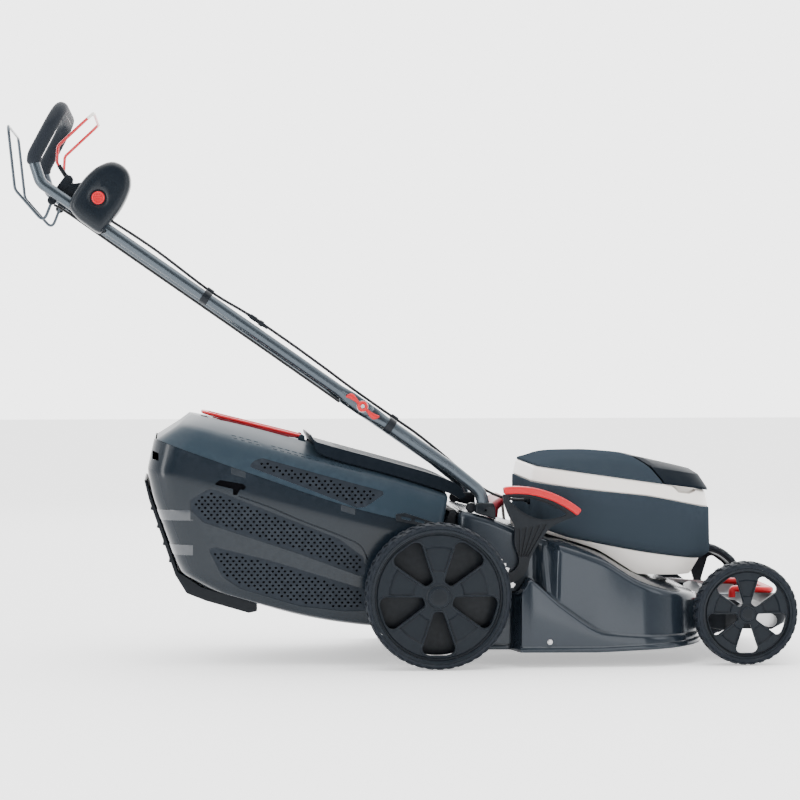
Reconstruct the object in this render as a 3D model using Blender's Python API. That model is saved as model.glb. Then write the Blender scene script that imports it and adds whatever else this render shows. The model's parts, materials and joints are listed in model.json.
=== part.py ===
# Cordless walk-behind lawn mower with a rear grass box.
# Metres, +Z up, +X towards the front wheels, the ground at Z = 0.
# Places along X are counted from the rear axle. The empty mower_origin then
# moves the whole machine so that the middle of its length is on the origin.
# The photograph looks at the mower's right side, which is the -Y side.

import math

import bmesh
import bpy
from mathutils import Matrix, Vector

# Driving sizes: overall
ORIGIN_X = 0.0575
GAP = 0.0003
RUN_GAP = 0.0004
SIDES = (-1, 1)
RIGHT, LEFT = SIDES

# Wheels
WHEELBASE = 0.600
REAR_WHEEL_R = 0.140
REAR_RIM_R = 0.130
REAR_WHEEL_W = 0.050
REAR_FACE_Y = 0.270
FRONT_WHEEL_R = 0.100
FRONT_RIM_R = 0.0885
FRONT_WHEEL_W = 0.045
FRONT_FACE_Y = 0.2475
HUB_WINDOWS = 5
TREAD_LUGS = 24
TREAD_DEPTH = 0.004
AXLE_R = 0.006
AXLE_SIDES = 12

# Height adjuster: both axles swing on cranks that the lever turns together
REAR_PIVOT = (0.062, REAR_WHEEL_R - 0.003)
FRONT_PIVOT = (WHEELBASE + 0.058, FRONT_WHEEL_R - 0.020)
CRANK_LUG_RISE = 0.032
CRANK_T = 0.005
REAR_CRANK_Y = 0.2045
FRONT_CRANK_Y = 0.1845
ROD_Y = 0.1965
ROD_R = 0.004
PIVOT_R = 0.006
LEVER_Y = 0.1935
LEVER_T = 0.0105

# Steel deck
DECK_REAR_X = 0.045
DECK_FRONT_X = 0.530
DECK_NARROW_Y = 0.190
DECK_LOW_Y = 0.241
DECK_UP_Y = 0.235
DECK_FRONT_R = 0.130
DECK_CORNER_R = 0.017
SKIRT_CORNER_R = 0.004
NOSE_X = 0.400
DECK_SHEET = 0.0022
DECK_RIM_Z = 0.030
DECK_RIM_H = 0.010
SHOULDER_R = 0.012
CUT_X = 0.290
SEAT_R = 0.092
SEAT_Z = 0.212
SHAFT_HOLE_R = 0.022
CHUTE_Y = 0.150
CHUTE_LOW_Z = 0.200
CHUTE_TOP_Z = 0.280

# Blade and motor
BLADE_R = 0.228
BLADE_W = 0.052
BLADE_T = 0.004
BLADE_Z = 0.0455
CARRIER_R = 0.030
SHAFT_R = 0.008
MOTOR_R = 0.072
MOTOR_H = 0.084
ROTOR_R = 0.028

# Handle
HANDLE_Y = 0.180
UPPER_TUBE_R = 0.011
LOWER_TUBE_R = 0.0122
GRIP_R = 0.0140
FOLD_X = -0.140
FOLD_Z = 0.500
FLAT_T = 0.012
FLAT_W = 0.027
BAIL_WIRE_R = 0.003
MOTOR_BAIL_Y = 0.147
DRIVE_BAIL_Y = 0.158

# Motor hood
HOOD_HALF_W = 0.168
HOOD_WALL = 0.003
BAND_T = 0.003

# Grass box
BOX_HALF_W = 0.195
BOX_WALL = 0.0025

# Empty the scene
for old in list(bpy.data.objects):
    bpy.data.objects.remove(old, do_unlink=True)

# Finishes: colour, metallic, roughness
FINISHES = {
    "deck_paint": ((0.030, 0.038, 0.047), 0.6, 0.25),
    "black_plastic": ((0.012, 0.014, 0.017), 0.0, 0.55),
    "dark_plastic": ((0.030, 0.040, 0.050), 0.0, 0.30),
    "slate_plastic": ((0.045, 0.065, 0.085), 0.0, 0.30),
    "cream_plastic": ((0.700, 0.670, 0.640), 0.0, 0.40),
    "grey_plastic": ((0.250, 0.260, 0.280), 0.2, 0.40),
    "red_plastic": ((0.550, 0.030, 0.035), 0.0, 0.40),
    "tube_paint": ((0.070, 0.080, 0.095), 0.7, 0.30),
    "foam": ((0.020, 0.024, 0.030), 0.0, 0.80),
    "tyre_rubber": ((0.022, 0.025, 0.028), 0.0, 0.75),
    "steel": ((0.500, 0.500, 0.500), 1.0, 0.35),
    "cable_rubber": ((0.012, 0.012, 0.013), 0.0, 0.50),
}


def finish(name):
    mat = bpy.data.materials.get(name)
    if mat:
        return mat
    colour, metallic, roughness = FINISHES[name]
    mat = bpy.data.materials.new(name)
    mat.use_nodes = True
    shader = mat.node_tree.nodes["Principled BSDF"]
    shader.inputs["Base Color"].default_value = (*colour, 1.0)
    shader.inputs["Metallic"].default_value = metallic
    shader.inputs["Roughness"].default_value = roughness
    return mat


def pivot(name, place, parent=None):
    empty = bpy.data.objects.new(name, None)
    bpy.context.collection.objects.link(empty)
    origin = parent["place"] if parent else Vector((0.0, 0.0, 0.0))
    empty.parent = parent["empty"] if parent else None
    empty.location = Vector(place) - origin
    return {"empty": empty, "place": Vector(place)}


def add(name, bm, mat, body, smooth=35.0):
    bmesh.ops.recalc_face_normals(bm, faces=bm.faces)
    bmesh.ops.translate(bm, verts=bm.verts, vec=-body["place"])
    mesh = bpy.data.meshes.new(name)
    bm.to_mesh(mesh)
    bm.free()
    obj = bpy.data.objects.new(name, mesh)
    bpy.context.collection.objects.link(obj)
    obj.parent = body["empty"]
    mesh.materials.append(finish(mat))
    mesh.shade_smooth()
    mesh.set_sharp_from_angle(angle=math.radians(smooth))
    return obj


def shell(obj, thickness, offset=-1.0):
    mod = obj.modifiers.new("shell", "SOLIDIFY")
    mod.thickness = thickness
    mod.offset = offset
    return mod


def cut(obj, bm, body):
    cutter = add(f"{obj.name}_cutter{len(obj.modifiers)}", bm, "steel", body)
    cutter.hide_render = True
    cutter.display_type = "WIRE"
    mod = obj.modifiers.new("cut", "BOOLEAN")
    mod.operation = "DIFFERENCE"
    mod.solver = "EXACT"
    mod.object = cutter
    return cutter


def weld(obj, bm, body):
    part = cut(obj, bm, body)
    obj.modifiers[-1].operation = "UNION"
    return part


def soften(obj, width, segments=1, angle=35.0):
    mod = obj.modifiers.new("soften", "BEVEL")
    mod.width = width
    mod.segments = segments
    mod.limit_method = "ANGLE"
    mod.angle_limit = math.radians(angle)
    mod.harden_normals = False
    return mod


# Skins a stack of rings that have the same number of points. With across, the
# last ring is closed by flat strips between its left and right points.
def loft(rings, start=True, end=True, closed=False, across=False, bm=None):
    bm = bm or bmesh.new()
    rows = [[bm.verts.new(p) for p in ring] for ring in rings]
    count = len(rows[0])
    pairs = list(zip(rows, rows[1:]))
    if closed:
        pairs.append((rows[-1], rows[0]))
    for low, high in pairs:
        for i in range(count):
            j = (i + 1) % count
            bm.faces.new((low[i], low[j], high[j], high[i]))
    if start and not closed:
        bm.faces.new(rows[0])
    if across:
        top = rows[-1]
        for i in range(count // 2 - 1):
            bm.faces.new((top[i], top[i + 1], top[count - 2 - i], top[count - 1 - i]))
    elif end and not closed:
        bm.faces.new(rows[-1])
    return bm


def along(axis, centre, radius, height, angle):
    c = radius * math.cos(angle)
    s = radius * math.sin(angle)
    x, y, z = centre
    if axis == "Y":
        return (x + c, y + height, z + s)
    if axis == "Z":
        return (x + c, y + s, z + height)
    return (x + height, y + c, z + s)


# Turns a profile of (radius, height) points about an axis; a ring with a
# hole has closed=True.
def turned(profile, steps, axis, centre, closed=False, turn=0.0, bm=None):
    rings = []
    for radius, height in profile:
        ring = []
        for i in range(steps):
            angle = turn + 2 * math.pi * i / steps
            ring.append(along(axis, centre, radius, height, angle))
        rings.append(ring)
    return loft(rings, closed=closed, bm=bm)


# Radius of the corners of a bore whose flats stay clear of the radius given.
def bore(radius, steps, clearance=RUN_GAP):
    return (radius + clearance) / math.cos(math.pi / steps)


# A plate drawn in side view (x, z), from y0 to y1.
def side_plate(outline, y0, y1, bm=None):
    low, high = sorted((y0, y1))
    return loft([[(x, y, z) for x, z in outline] for y in (low, high)], bm=bm)


# A plate drawn from above (x, y), from z0 to z1.
def flat_plate(outline, z0, z1, bm=None):
    return loft([[(x, y, z) for x, y in outline] for z in (z0, z1)], bm=bm)


def block(x0, x1, y0, y1, z0, z1, bm=None):
    return flat_plate([(x0, y0), (x1, y0), (x1, y1), (x0, y1)], z0, z1, bm=bm)


def arc(cx, cy, radius, start, stop, steps):
    points = []
    for i in range(steps + 1):
        angle = math.radians(start + (stop - start) * i / steps)
        points.append((cx + radius * math.cos(angle), cy + radius * math.sin(angle)))
    return points


# Outline of a link between two eyes: two half rounds and straight flanks.
def link_outline(a, b, ra, rb, steps=6):
    heading = math.degrees(math.atan2(b[1] - a[1], b[0] - a[0]))
    points = arc(a[0], a[1], ra, heading + 90, heading + 270, steps)
    return points + arc(b[0], b[1], rb, heading - 90, heading + 90, steps)


# Rounds the corners of a path of points with arcs of the radii given.
def rounded(points, radii, steps=4):
    points = [Vector(p) for p in points]
    path = [points[0]]
    for i in range(1, len(points) - 1):
        here = points[i]
        back = (points[i - 1] - here).normalized()
        ahead = (points[i + 1] - here).normalized()
        half = back.angle(ahead) / 2
        radius = radii[i - 1]
        reach = radius / math.tan(half)
        middle = here + (back + ahead).normalized() * (radius / math.sin(half))
        first = here + back * reach - middle
        last = here + ahead * reach - middle
        for k in range(steps + 1):
            path.append(middle + first.slerp(last, k / steps).normalized() * radius)
    path.append(points[-1])
    return path


# Sweeps an oval along a path. sizes gives (half width in the plane of the
# bend, half width across it, shift across it) for each point.
def swept(path, sizes, sides, side=Vector((0.0, 1.0, 0.0)), bm=None):
    rings = []
    across = side.normalized()
    last = None
    for i, point in enumerate(path):
        before = path[max(i - 1, 0)]
        after = path[min(i + 1, len(path) - 1)]
        heading = (after - before).normalized()
        if last is not None:
            across = last.rotation_difference(heading) @ across
        across = (across - heading * across.dot(heading)).normalized()
        normal = heading.cross(across)
        wide, deep, shift = sizes[i]
        ring = []
        for k in range(sides):
            angle = 2 * math.pi * (k + 0.5) / sides
            out = normal * (wide * math.cos(angle))
            ring.append(point + out + across * (deep * math.sin(angle) + shift))
        rings.append(ring)
        last = heading
    return loft(rings, bm=bm)


def wire(path, radius, sides, bm=None, side=Vector((0.0, 1.0, 0.0))):
    return swept(path, [(radius, radius, 0.0)] * len(path), sides, side, bm)


# Reads a height off a line of (x, z) points, straight between them.
def read_line(line, x):
    if x <= line[0][0]:
        return line[0][1]
    for (x0, z0), (x1, z1) in zip(line, line[1:]):
        if x <= x1:
            return z0 + (z1 - z0) * (x - x0) / (x1 - x0)
    return line[-1][1]


# Rounded rectangle seen from above, x0 to x1 and half width w, with its rear
# and front corner radii; the points lie the same way round for any size.
def hood_outline(x0, x1, w, r0, r1, corner=4, run=4):
    points = arc(x1 - r1, w - r1, r1, 0, 90, corner)
    for k in range(1, run):
        points.append((x1 - r1 + (x0 + r0 - x1 + r1) * k / run, w))
    points += arc(x0 + r0, w - r0, r0, 90, 180, corner)
    points += arc(x0 + r0, -w + r0, r0, 180, 270, corner)
    for k in range(1, run):
        points.append((x0 + r0 + (x1 - r1 - x0 - r0) * k / run, -w))
    points += arc(x1 - r1, -w + r1, r1, 270, 360, corner)
    return points


def on_line(outline, line, lift=0.0):
    return [(x, y, read_line(line, x) + lift) for x, y in outline]


mower = pivot("mower_origin", (0.0, 0.0, 0.0))
mower["empty"].location.x = ORIGIN_X

# Deck
# Height of the shoulder, the pressed crease, the rim and the crown along X.
SHOULDER = [(0.045, 0.300), (0.105, 0.284), (0.157, 0.263), (0.211, 0.244), (0.294, 0.216),
            (0.331, 0.201), (0.386, 0.167), (0.437, 0.149), (0.489, 0.138), (0.530, 0.131)]
CREASE = [(0.045, 0.140), (0.160, 0.140), (0.182, 0.167), (0.236, 0.121), (0.300, 0.076),
          (0.335, 0.064), (0.411, 0.058), (0.530, 0.057)]
RIM = [(0.045, DECK_RIM_Z), (0.314, DECK_RIM_Z - 0.002), (0.530, DECK_RIM_Z + 0.007)]
CROWN = [(0.130, 0.0), (0.240, 0.009), (0.530, 0.009)]
POCKET_END_X = 0.212
POCKET_STEP = 0.016


# Half outlines of the deck seen from above: the skirt, and the wall above the
# crease, which stays narrow further forward to leave a pocket for the lever.
def deck_half(upper):
    wide = DECK_UP_Y if upper else DECK_LOW_Y
    narrow = DECK_NARROW_Y
    step_x = [0.148, 0.160, 0.182, POCKET_END_X, POCKET_END_X + POCKET_STEP, 0.262, 0.300, 0.350]
    widths = [narrow] * 4 + [wide] * 4 if upper else [narrow] + [wide] * 7
    bend = DECK_CORNER_R if upper else SKIRT_CORNER_R
    points = [(DECK_REAR_X, 0.0), (DECK_REAR_X, 0.100), (DECK_REAR_X, narrow - bend)]
    points += [(DECK_REAR_X + 0.3 * bend, narrow - 0.3 * bend), (DECK_REAR_X + bend, narrow), (0.100, narrow)]
    points += list(zip(step_x, widths))
    centre_x = DECK_FRONT_X - DECK_FRONT_R
    front = arc(centre_x, wide - DECK_FRONT_R, DECK_FRONT_R, 90, 0, 7)
    points += front[:-1]
    points += [(DECK_FRONT_X, wide - DECK_FRONT_R), (DECK_FRONT_X, 0.0)]
    return points


def deck_outline(upper):
    half = deck_half(upper)
    return half + [(x, -y) for x, y in reversed(half[1:-1])]


# Moves an outline inwards by a distance, square to its own edges.
def inset(outline, distance):
    moved = []
    count = len(outline)
    for i, (x, y) in enumerate(outline):
        ax, ay = outline[i - 1]
        bx, by = outline[(i + 1) % count]
        heading = Vector((bx - ax, by - ay)).normalized()
        moved.append((x + heading.y * distance, y - heading.x * distance))
    return moved


# One pressing of the deck, without what lies between two places along X.
def deck_pressing(name, open_x0, open_x1):
    low = deck_outline(False)
    high = deck_outline(True)
    ring_top = inset(high, SHOULDER_R + 0.002)
    seat = []
    hole = []
    for x, y in high:
        heading = Vector((x - CUT_X, y)).normalized()
        seat.append((CUT_X + heading.x * SEAT_R, heading.y * SEAT_R, SEAT_Z))
        hole.append((CUT_X + heading.x * SHAFT_HOLE_R, heading.y * SHAFT_HOLE_R, SEAT_Z))
    crown = []
    for (x, y), (sx, sy, sz) in zip(ring_top, seat):
        mx = x + (sx - x) * 0.45
        z = read_line(SHOULDER, mx) + read_line(CROWN, mx)
        crown.append((mx, y + (sy - y) * 0.45, z))
    rings = [
        on_line(inset(low, -0.003), RIM),
        on_line(inset(low, -0.002), RIM, DECK_RIM_H),
        on_line(inset(low, 0.001), CREASE, -0.001),
        on_line(high, CREASE, 0.003),
        on_line(inset(high, 0.002), SHOULDER, -SHOULDER_R),
        on_line(inset(high, 0.0055), SHOULDER, -0.3 * SHOULDER_R),
        on_line(ring_top, SHOULDER),
        crown,
        seat,
        hole,
    ]
    obj = add(name, loft(rings, start=False, end=False), "deck_paint", mower, smooth=30)
    shell(obj, DECK_SHEET)
    cut(obj, block(open_x0, open_x1, -DECK_LOW_Y - 0.02, DECK_LOW_Y + 0.02, 0.0, SHOULDER[0][1] + 0.02), mower)
    return obj


# Slot for the link rod through a wall of the deck.
def rod_slot(obj, x0, x1, z0, z1):
    cut(obj, block(x0, x1, ROD_Y - 0.0065, ROD_Y + 0.0085, z0, z1), mower)


deck = deck_pressing("deck", NOSE_X, DECK_FRONT_X + 0.02)
cut(deck, block(DECK_REAR_X - 0.02, DECK_REAR_X + 0.02, -CHUTE_Y, CHUTE_Y,
                CHUTE_LOW_Z - 0.006, CHUTE_TOP_Z), mower)
rod_slot(deck, POCKET_END_X - 0.076, POCKET_END_X + 0.012, 0.130, 0.171)
# Nose with the deck's two front corners
deck_nose = deck_pressing("deck_nose", DECK_REAR_X - 0.02, NOSE_X + GAP)
rod_slot(deck_nose, DECK_FRONT_X - 0.075, DECK_FRONT_X + 0.005, 0.110, 0.141)


# Wheels
# A hub is a stack of rings around the axle. The cells between the two window
# rings are left out and walled, which opens the five rounded windows.
def wheel_hub(name, side, axle, body, radius, face_y, width, columns, window):
    steps = HUB_WINDOWS * columns
    back = face_y - width + 0.002
    plate = face_y - 0.009
    plate_t = 0.007
    r_in, r_out = window
    shaft_bore = bore(AXLE_R, steps)
    shapes = [
        ("plain", 0.0205, face_y - 0.0005),
        ("plain", 0.0240, face_y - 0.004),
        ("inner", r_in, plate),
        ("outer", r_out, plate),
        ("plain", radius - 0.0085, plate + 0.001),
        ("plain", radius - 0.0070, face_y - 0.0025),
        ("plain", radius, face_y - 0.0025),
        ("plain", radius, back),
        ("plain", radius - 0.0060, back),
        ("plain", radius - 0.0090, plate - plate_t),
        ("outer", r_out, plate - plate_t),
        ("inner", r_in, plate - plate_t),
        ("plain", 0.0190, back),
        ("plain", shaft_bore, back),
        ("plain", shaft_bore, face_y - 0.007),
    ]
    open_columns = columns - 2
    pitch = 2 * math.pi / HUB_WINDOWS
    rings = []
    for kind, r, y in shapes:
        ring = []
        for i in range(steps):
            sector, col = divmod(i, columns)
            share = col / columns
            here = r
            if kind != "plain":
                u = min(max(col - 1, 0) / open_columns, 1.0)
                u = u if col <= open_columns + 1 else 0.0
                edge = abs(2 * u - 1) ** 3
                if kind == "inner":
                    here = r + edge * 0.011
                    spread = 0.56
                else:
                    here = r - edge * 0.008
                    spread = 0.70
                share = 0.5 + (u - 0.5) * spread if 1 <= col else 0.0
            angle = math.radians(270) + pitch * (sector + share - 0.5)
            height = side * y
            ring.append((axle[0] + here * math.cos(angle), height, axle[1] + here * math.sin(angle)))
        rings.append(ring)
    bm = bmesh.new()
    rows = [[bm.verts.new(p) for p in ring] for ring in rings]
    for k in range(len(rows) - 1):
        window_band = shapes[k][0] != "plain" and shapes[k + 1][0] != "plain"
        for i in range(steps):
            col = i % columns
            if window_band and 1 <= col <= open_columns:
                continue
            j = (i + 1) % steps
            bm.faces.new((rows[k][i], rows[k][j], rows[k + 1][j], rows[k + 1][i]))
    front_in, front_out, rear_out, rear_in = rows[2], rows[3], rows[10], rows[11]
    for s in range(HUB_WINDOWS):
        first = s * columns + 1
        last = first + open_columns
        for i in range(first, last):
            bm.faces.new((front_in[i], front_in[i + 1], rear_in[i + 1], rear_in[i]))
            bm.faces.new((front_out[i], front_out[i + 1], rear_out[i + 1], rear_out[i]))
        for i in (first, last):
            bm.faces.new((front_in[i], front_out[i], rear_out[i], rear_in[i]))
    bm.faces.new(rows[0])
    bm.faces.new(rows[-1])
    return add(name, bm, "black_plastic", body, smooth=28)


# Dust cover that closes a hub's back, set into its rim and its boss.
def dust_cover(hub, side, axle, body, radius, face_y, width):
    inner_y = side * (face_y - width + 0.005)
    outer_y = side * (face_y - width + 0.007)
    profile = [(0.015, inner_y), (radius - 0.003, inner_y), (radius - 0.003, outer_y), (0.015, outer_y)]
    ring = turned(profile, 30, "Y", (axle[0], 0.0, axle[1]), closed=True)
    weld(hub, ring, body)


# A tyre with lugs along both shoulders of its tread.
def wheel_tyre(name, side, axle, body, radius, rim, face_y, width):
    steps = 2 * TREAD_LUGS
    seat = bore(rim, steps)
    back = face_y - width
    profile = [
        (seat, seat, face_y - 0.002),
        (radius - 0.0045, radius - 0.0045, face_y),
        (radius, radius - TREAD_DEPTH, face_y - 0.009),
        (radius, radius - TREAD_DEPTH, back + 0.009),
        (radius - 0.0045, radius - 0.0045, back),
        (seat, seat, back + 0.002),
    ]
    rings = []
    for even, odd, y in profile:
        ring = []
        for i in range(steps):
            angle = -math.pi / 2 + 2 * math.pi * i / steps
            r = odd if i % 2 else even
            ring.append((axle[0] + r * math.cos(angle), side * y, axle[1] + r * math.sin(angle)))
        rings.append(ring)
    return add(name, loft(rings, closed=True), "tyre_rubber", body, smooth=50)


REAR_AXLE = (0.0, REAR_WHEEL_R)
FRONT_AXLE = (WHEELBASE, FRONT_WHEEL_R)
SIDE_NAMES = {RIGHT: "right", LEFT: "left"}

rear_arms = pivot("rear_crank_axis", (REAR_PIVOT[0], 0.0, REAR_PIVOT[1]), mower)
front_arms = pivot("front_crank_axis", (FRONT_PIVOT[0], 0.0, FRONT_PIVOT[1]), mower)

for hand in SIDES:
    word = SIDE_NAMES[hand]
    wheel = pivot(f"rear_wheel_{word}_axis", (REAR_AXLE[0], hand * REAR_FACE_Y, REAR_AXLE[1]), rear_arms)
    hub = wheel_hub(f"rear_hub_{word}", hand, REAR_AXLE, wheel, REAR_RIM_R, REAR_FACE_Y,
                    REAR_WHEEL_W, 7, (0.033, 0.114))
    dust_cover(hub, hand, REAR_AXLE, wheel, REAR_RIM_R, REAR_FACE_Y, REAR_WHEEL_W)
    wheel_tyre(f"rear_tyre_{word}", hand, REAR_AXLE, wheel, REAR_WHEEL_R, REAR_RIM_R,
               REAR_FACE_Y, REAR_WHEEL_W)
    wheel = pivot(f"front_wheel_{word}_axis", (FRONT_AXLE[0], hand * FRONT_FACE_Y, FRONT_AXLE[1]), front_arms)
    wheel_hub(f"front_hub_{word}", hand, FRONT_AXLE, wheel, FRONT_RIM_R, FRONT_FACE_Y,
              FRONT_WHEEL_W, 6, (0.029, 0.075))
    wheel_tyre(f"front_tyre_{word}", hand, FRONT_AXLE, wheel, FRONT_WHEEL_R, FRONT_RIM_R,
               FRONT_FACE_Y, FRONT_WHEEL_W)


# Height adjuster
EYE_R = 0.013
CRANK_STEPS = 12


def lug_of(pivot_place):
    return (pivot_place[0], pivot_place[1] + CRANK_LUG_RISE)


# Three-cornered crank plate: axle eye, pivot eye and, on the left, a lug.
def crank_outline(axle, centre, lug):
    if lug:
        return (arc(axle[0], axle[1], EYE_R, 125, 270, 5)
                + arc(centre[0], centre[1], EYE_R, 270, 360, 4)
                + arc(lug[0], lug[1], 0.010, 0, 125, 4))
    return link_outline(axle, centre, EYE_R, EYE_R)


def drill(obj, body, place, radius, y0, y1, steps=CRANK_STEPS):
    hole = turned([(bore(radius, steps), y0), (bore(radius, steps), y1)], steps, "Y",
                  (place[0], 0.0, place[1]))
    cut(obj, hole, body)


rear_shaft_end = REAR_FACE_Y - 0.0075
add("rear_axle_shaft", turned([(AXLE_R, -rear_shaft_end), (AXLE_R, rear_shaft_end)], AXLE_SIDES, "Y",
                              (REAR_AXLE[0], 0.0, REAR_AXLE[1])), "steel", rear_arms)
for hand in SIDES:
    y0 = hand * REAR_CRANK_Y
    y1 = hand * (REAR_CRANK_Y + CRANK_T)
    lug = lug_of(REAR_PIVOT) if hand == LEFT else None
    arm = add(f"rear_crank_{SIDE_NAMES[hand]}", side_plate(crank_outline(REAR_AXLE, REAR_PIVOT, lug), y0, y1),
              "steel", rear_arms)
    drill(arm, rear_arms, REAR_AXLE, AXLE_R, y0 - 0.01, y1 + 0.01)
    drill(arm, rear_arms, REAR_PIVOT, PIVOT_R, y0 - 0.01, y1 + 0.01)
    if lug:
        pin = turned([(ROD_R, ROD_Y - ROD_R - 0.001), (ROD_R, REAR_CRANK_Y + 0.002)], 10, "Y",
                     (lug[0], 0.0, lug[1]))
        weld(arm, pin, rear_arms)

# The front axle is one cranked piece: cross tube, two arms and stub axles.
front_y1 = FRONT_CRANK_Y + CRANK_T
front_stub_end = FRONT_FACE_Y - 0.0075
bar = turned([(0.007, -FRONT_CRANK_Y - 0.002), (0.007, FRONT_CRANK_Y + 0.002)], AXLE_SIDES, "Y",
             (FRONT_PIVOT[0], 0.0, FRONT_PIVOT[1]))
front_axle = add("front_axle", bar, "steel", front_arms)


for hand in SIDES:
    lug = lug_of(FRONT_PIVOT)
    outline = crank_outline(FRONT_AXLE, FRONT_PIVOT, lug if hand == LEFT else None)
    weld(front_axle, side_plate(outline, hand * FRONT_CRANK_Y, hand * front_y1), front_arms)
    stub = turned([(AXLE_R, hand * (FRONT_CRANK_Y + 0.002)), (AXLE_R, hand * front_stub_end)], AXLE_SIDES, "Y",
                  (FRONT_AXLE[0], 0.0, FRONT_AXLE[1]))
    weld(front_axle, stub, front_arms)
pin_place = lug_of(FRONT_PIVOT)
pin = turned([(ROD_R, front_y1 - 0.002), (ROD_R, ROD_Y + 0.0045)], 10, "Y", (pin_place[0], 0.0, pin_place[1]))
weld(front_axle, pin, front_arms)

# Link rod from the left rear crank to the left front crank
rod_a = lug_of(REAR_PIVOT)
rod_b = lug_of(FRONT_PIVOT)
rod = pivot("height_rod_axis", (rod_a[0], ROD_Y, rod_a[1]), rear_arms)
rod_y0 = ROD_Y - ROD_R
rod_y1 = ROD_Y + ROD_R
rod_eye_r = 0.009
heading = Vector((rod_b[0] - rod_a[0], rod_b[1] - rod_a[1])).normalized()
side_step = Vector((-heading.y, heading.x)) * ROD_R
strip = [(rod_a[0] + side_step.x, rod_a[1] + side_step.y), (rod_a[0] - side_step.x, rod_a[1] - side_step.y),
         (rod_b[0] - side_step.x, rod_b[1] - side_step.y), (rod_b[0] + side_step.x, rod_b[1] + side_step.y)]
rod_bar = add("height_rod", side_plate(strip, rod_y0, rod_y1), "steel", rod)
for place in (rod_a, rod_b):
    weld(rod_bar, turned([(rod_eye_r, rod_y0 + 0.0001), (rod_eye_r, rod_y1 - 0.0001)], 12, "Y",
                         (place[0], 0.0, place[1])), rod)
drill(rod_bar, rod, rod_a, ROD_R, rod_y0 - 0.01, rod_y1 + 0.01)
hole = turned([(ROD_R + 0.0011, rod_y0 - 0.01), (ROD_R + 0.0011, rod_y1 + 0.01)], 12, "Y",
              (rod_b[0], 0.0, rod_b[1]))
cut(rod_bar, hole, rod)
# Pivot bolts of the rear cranks, standing out of the deck's sides
for hand in SIDES:
    inner = DECK_NARROW_Y + GAP
    outer = REAR_CRANK_Y + CRANK_T + 2 * GAP
    bolt = turned([(PIVOT_R, hand * inner), (PIVOT_R, hand * outer), (PIVOT_R + 0.003, hand * outer),
                   (PIVOT_R + 0.003, hand * (outer + 0.004))], CRANK_STEPS, "Y",
                  (REAR_PIVOT[0], 0.0, REAR_PIVOT[1]))
    add(f"crank_bolt_{SIDE_NAMES[hand]}", bolt, "steel", mower)

# Height lever: a boat-shaped head with a window, on a ribbed stem that runs
# down behind the rear wheel to the crank's pivot
HEAD_ARC = (0.1534, 0.1432, 0.1880)
GRIP_T = 0.0150
lever_outline = arc(HEAD_ARC[0], HEAD_ARC[1], HEAD_ARC[2], 50, 97, 8)
lever_outline += [(0.131, 0.318), (0.141, 0.290), (0.153, 0.272), (0.152, 0.235), (0.163, 0.205)]
lever_outline += [(0.157, 0.190), (0.140, 0.178)]
lever_outline += arc(REAR_PIVOT[0], REAR_PIVOT[1], 0.014, 110, 292, 7)
lever_outline += [(0.146, 0.159), (0.168, 0.171), (0.179, 0.190), (0.181, 0.206), (0.206, 0.240)]
lever_outline += [(0.228, 0.262), (0.255, 0.272)]
lever_y0 = -(LEVER_Y + LEVER_T)
lever = add("height_lever", side_plate(lever_outline, lever_y0, -LEVER_Y), "black_plastic", rear_arms)
window = [(0.145, 0.320), (0.170, 0.322), (0.200, 0.316), (0.230, 0.305), (0.256, 0.290),
          (0.240, 0.283), (0.215, 0.280), (0.190, 0.284), (0.165, 0.296)]
cut(lever, side_plate(window, lever_y0 - 0.01, -LEVER_Y + 0.01), rear_arms)
drill(lever, rear_arms, REAR_PIVOT, PIVOT_R, lever_y0 - 0.01, -LEVER_Y + 0.01)
for k in range(3):
    rib_low = (0.164 + 0.005 * k, 0.213)
    rib_high = (0.160 + 0.018 * k, 0.262)
    cut(lever, side_plate(link_outline(rib_low, rib_high, 0.0012, 0.0042, 2),
                          lever_y0 - 0.001, lever_y0 + 0.003), rear_arms)
grip_low = arc(HEAD_ARC[0], HEAD_ARC[1], HEAD_ARC[2] + GAP, 97, 50, 8)
grip_high = arc(HEAD_ARC[0], HEAD_ARC[1], HEAD_ARC[2] + GRIP_T, 50, 97, 8)
grip = add("lever_grip", side_plate(grip_low + grip_high, -LEVER_Y - LEVER_T - 0.010, -LEVER_Y + 0.001),
           "red_plastic", rear_arms)
soften(grip, 0.003, 2)

# Notched rack for the lever, on the deck's side
rack = arc(REAR_PIVOT[0], REAR_PIVOT[1], 0.074, 48, 8, 6)
for k in range(13):
    angle = 8 + 40 * k / 12
    rack += arc(REAR_PIVOT[0], REAR_PIVOT[1], 0.096 if k % 2 else 0.091, angle, angle, 1)[:1]
add("lever_rack", side_plate(rack, -DECK_NARROW_Y - GAP, -LEVER_Y + 2 * GAP), "steel", mower)

# Drive: a gearbox that rides on the rear axle
GEARBOX_R = 0.030
box_profile = [(0.016, -0.055), (0.026, -0.045), (GEARBOX_R, -0.030), (GEARBOX_R, 0.030), (0.026, 0.045),
               (0.016, 0.055)]
gearbox = add("drive_gearbox", turned(box_profile, 16, "Y", (REAR_AXLE[0], 0.0, REAR_AXLE[1])),
              "black_plastic", rear_arms)
weld(gearbox, turned([(0.014, 0.0), (0.014, 0.035)], 12, "Z", (REAR_AXLE[0] - 0.010, 0.0, REAR_AXLE[1] + 0.010)),
     rear_arms)
drill(gearbox, rear_arms, REAR_AXLE, AXLE_R, -0.07, 0.07, AXLE_SIDES)

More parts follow.
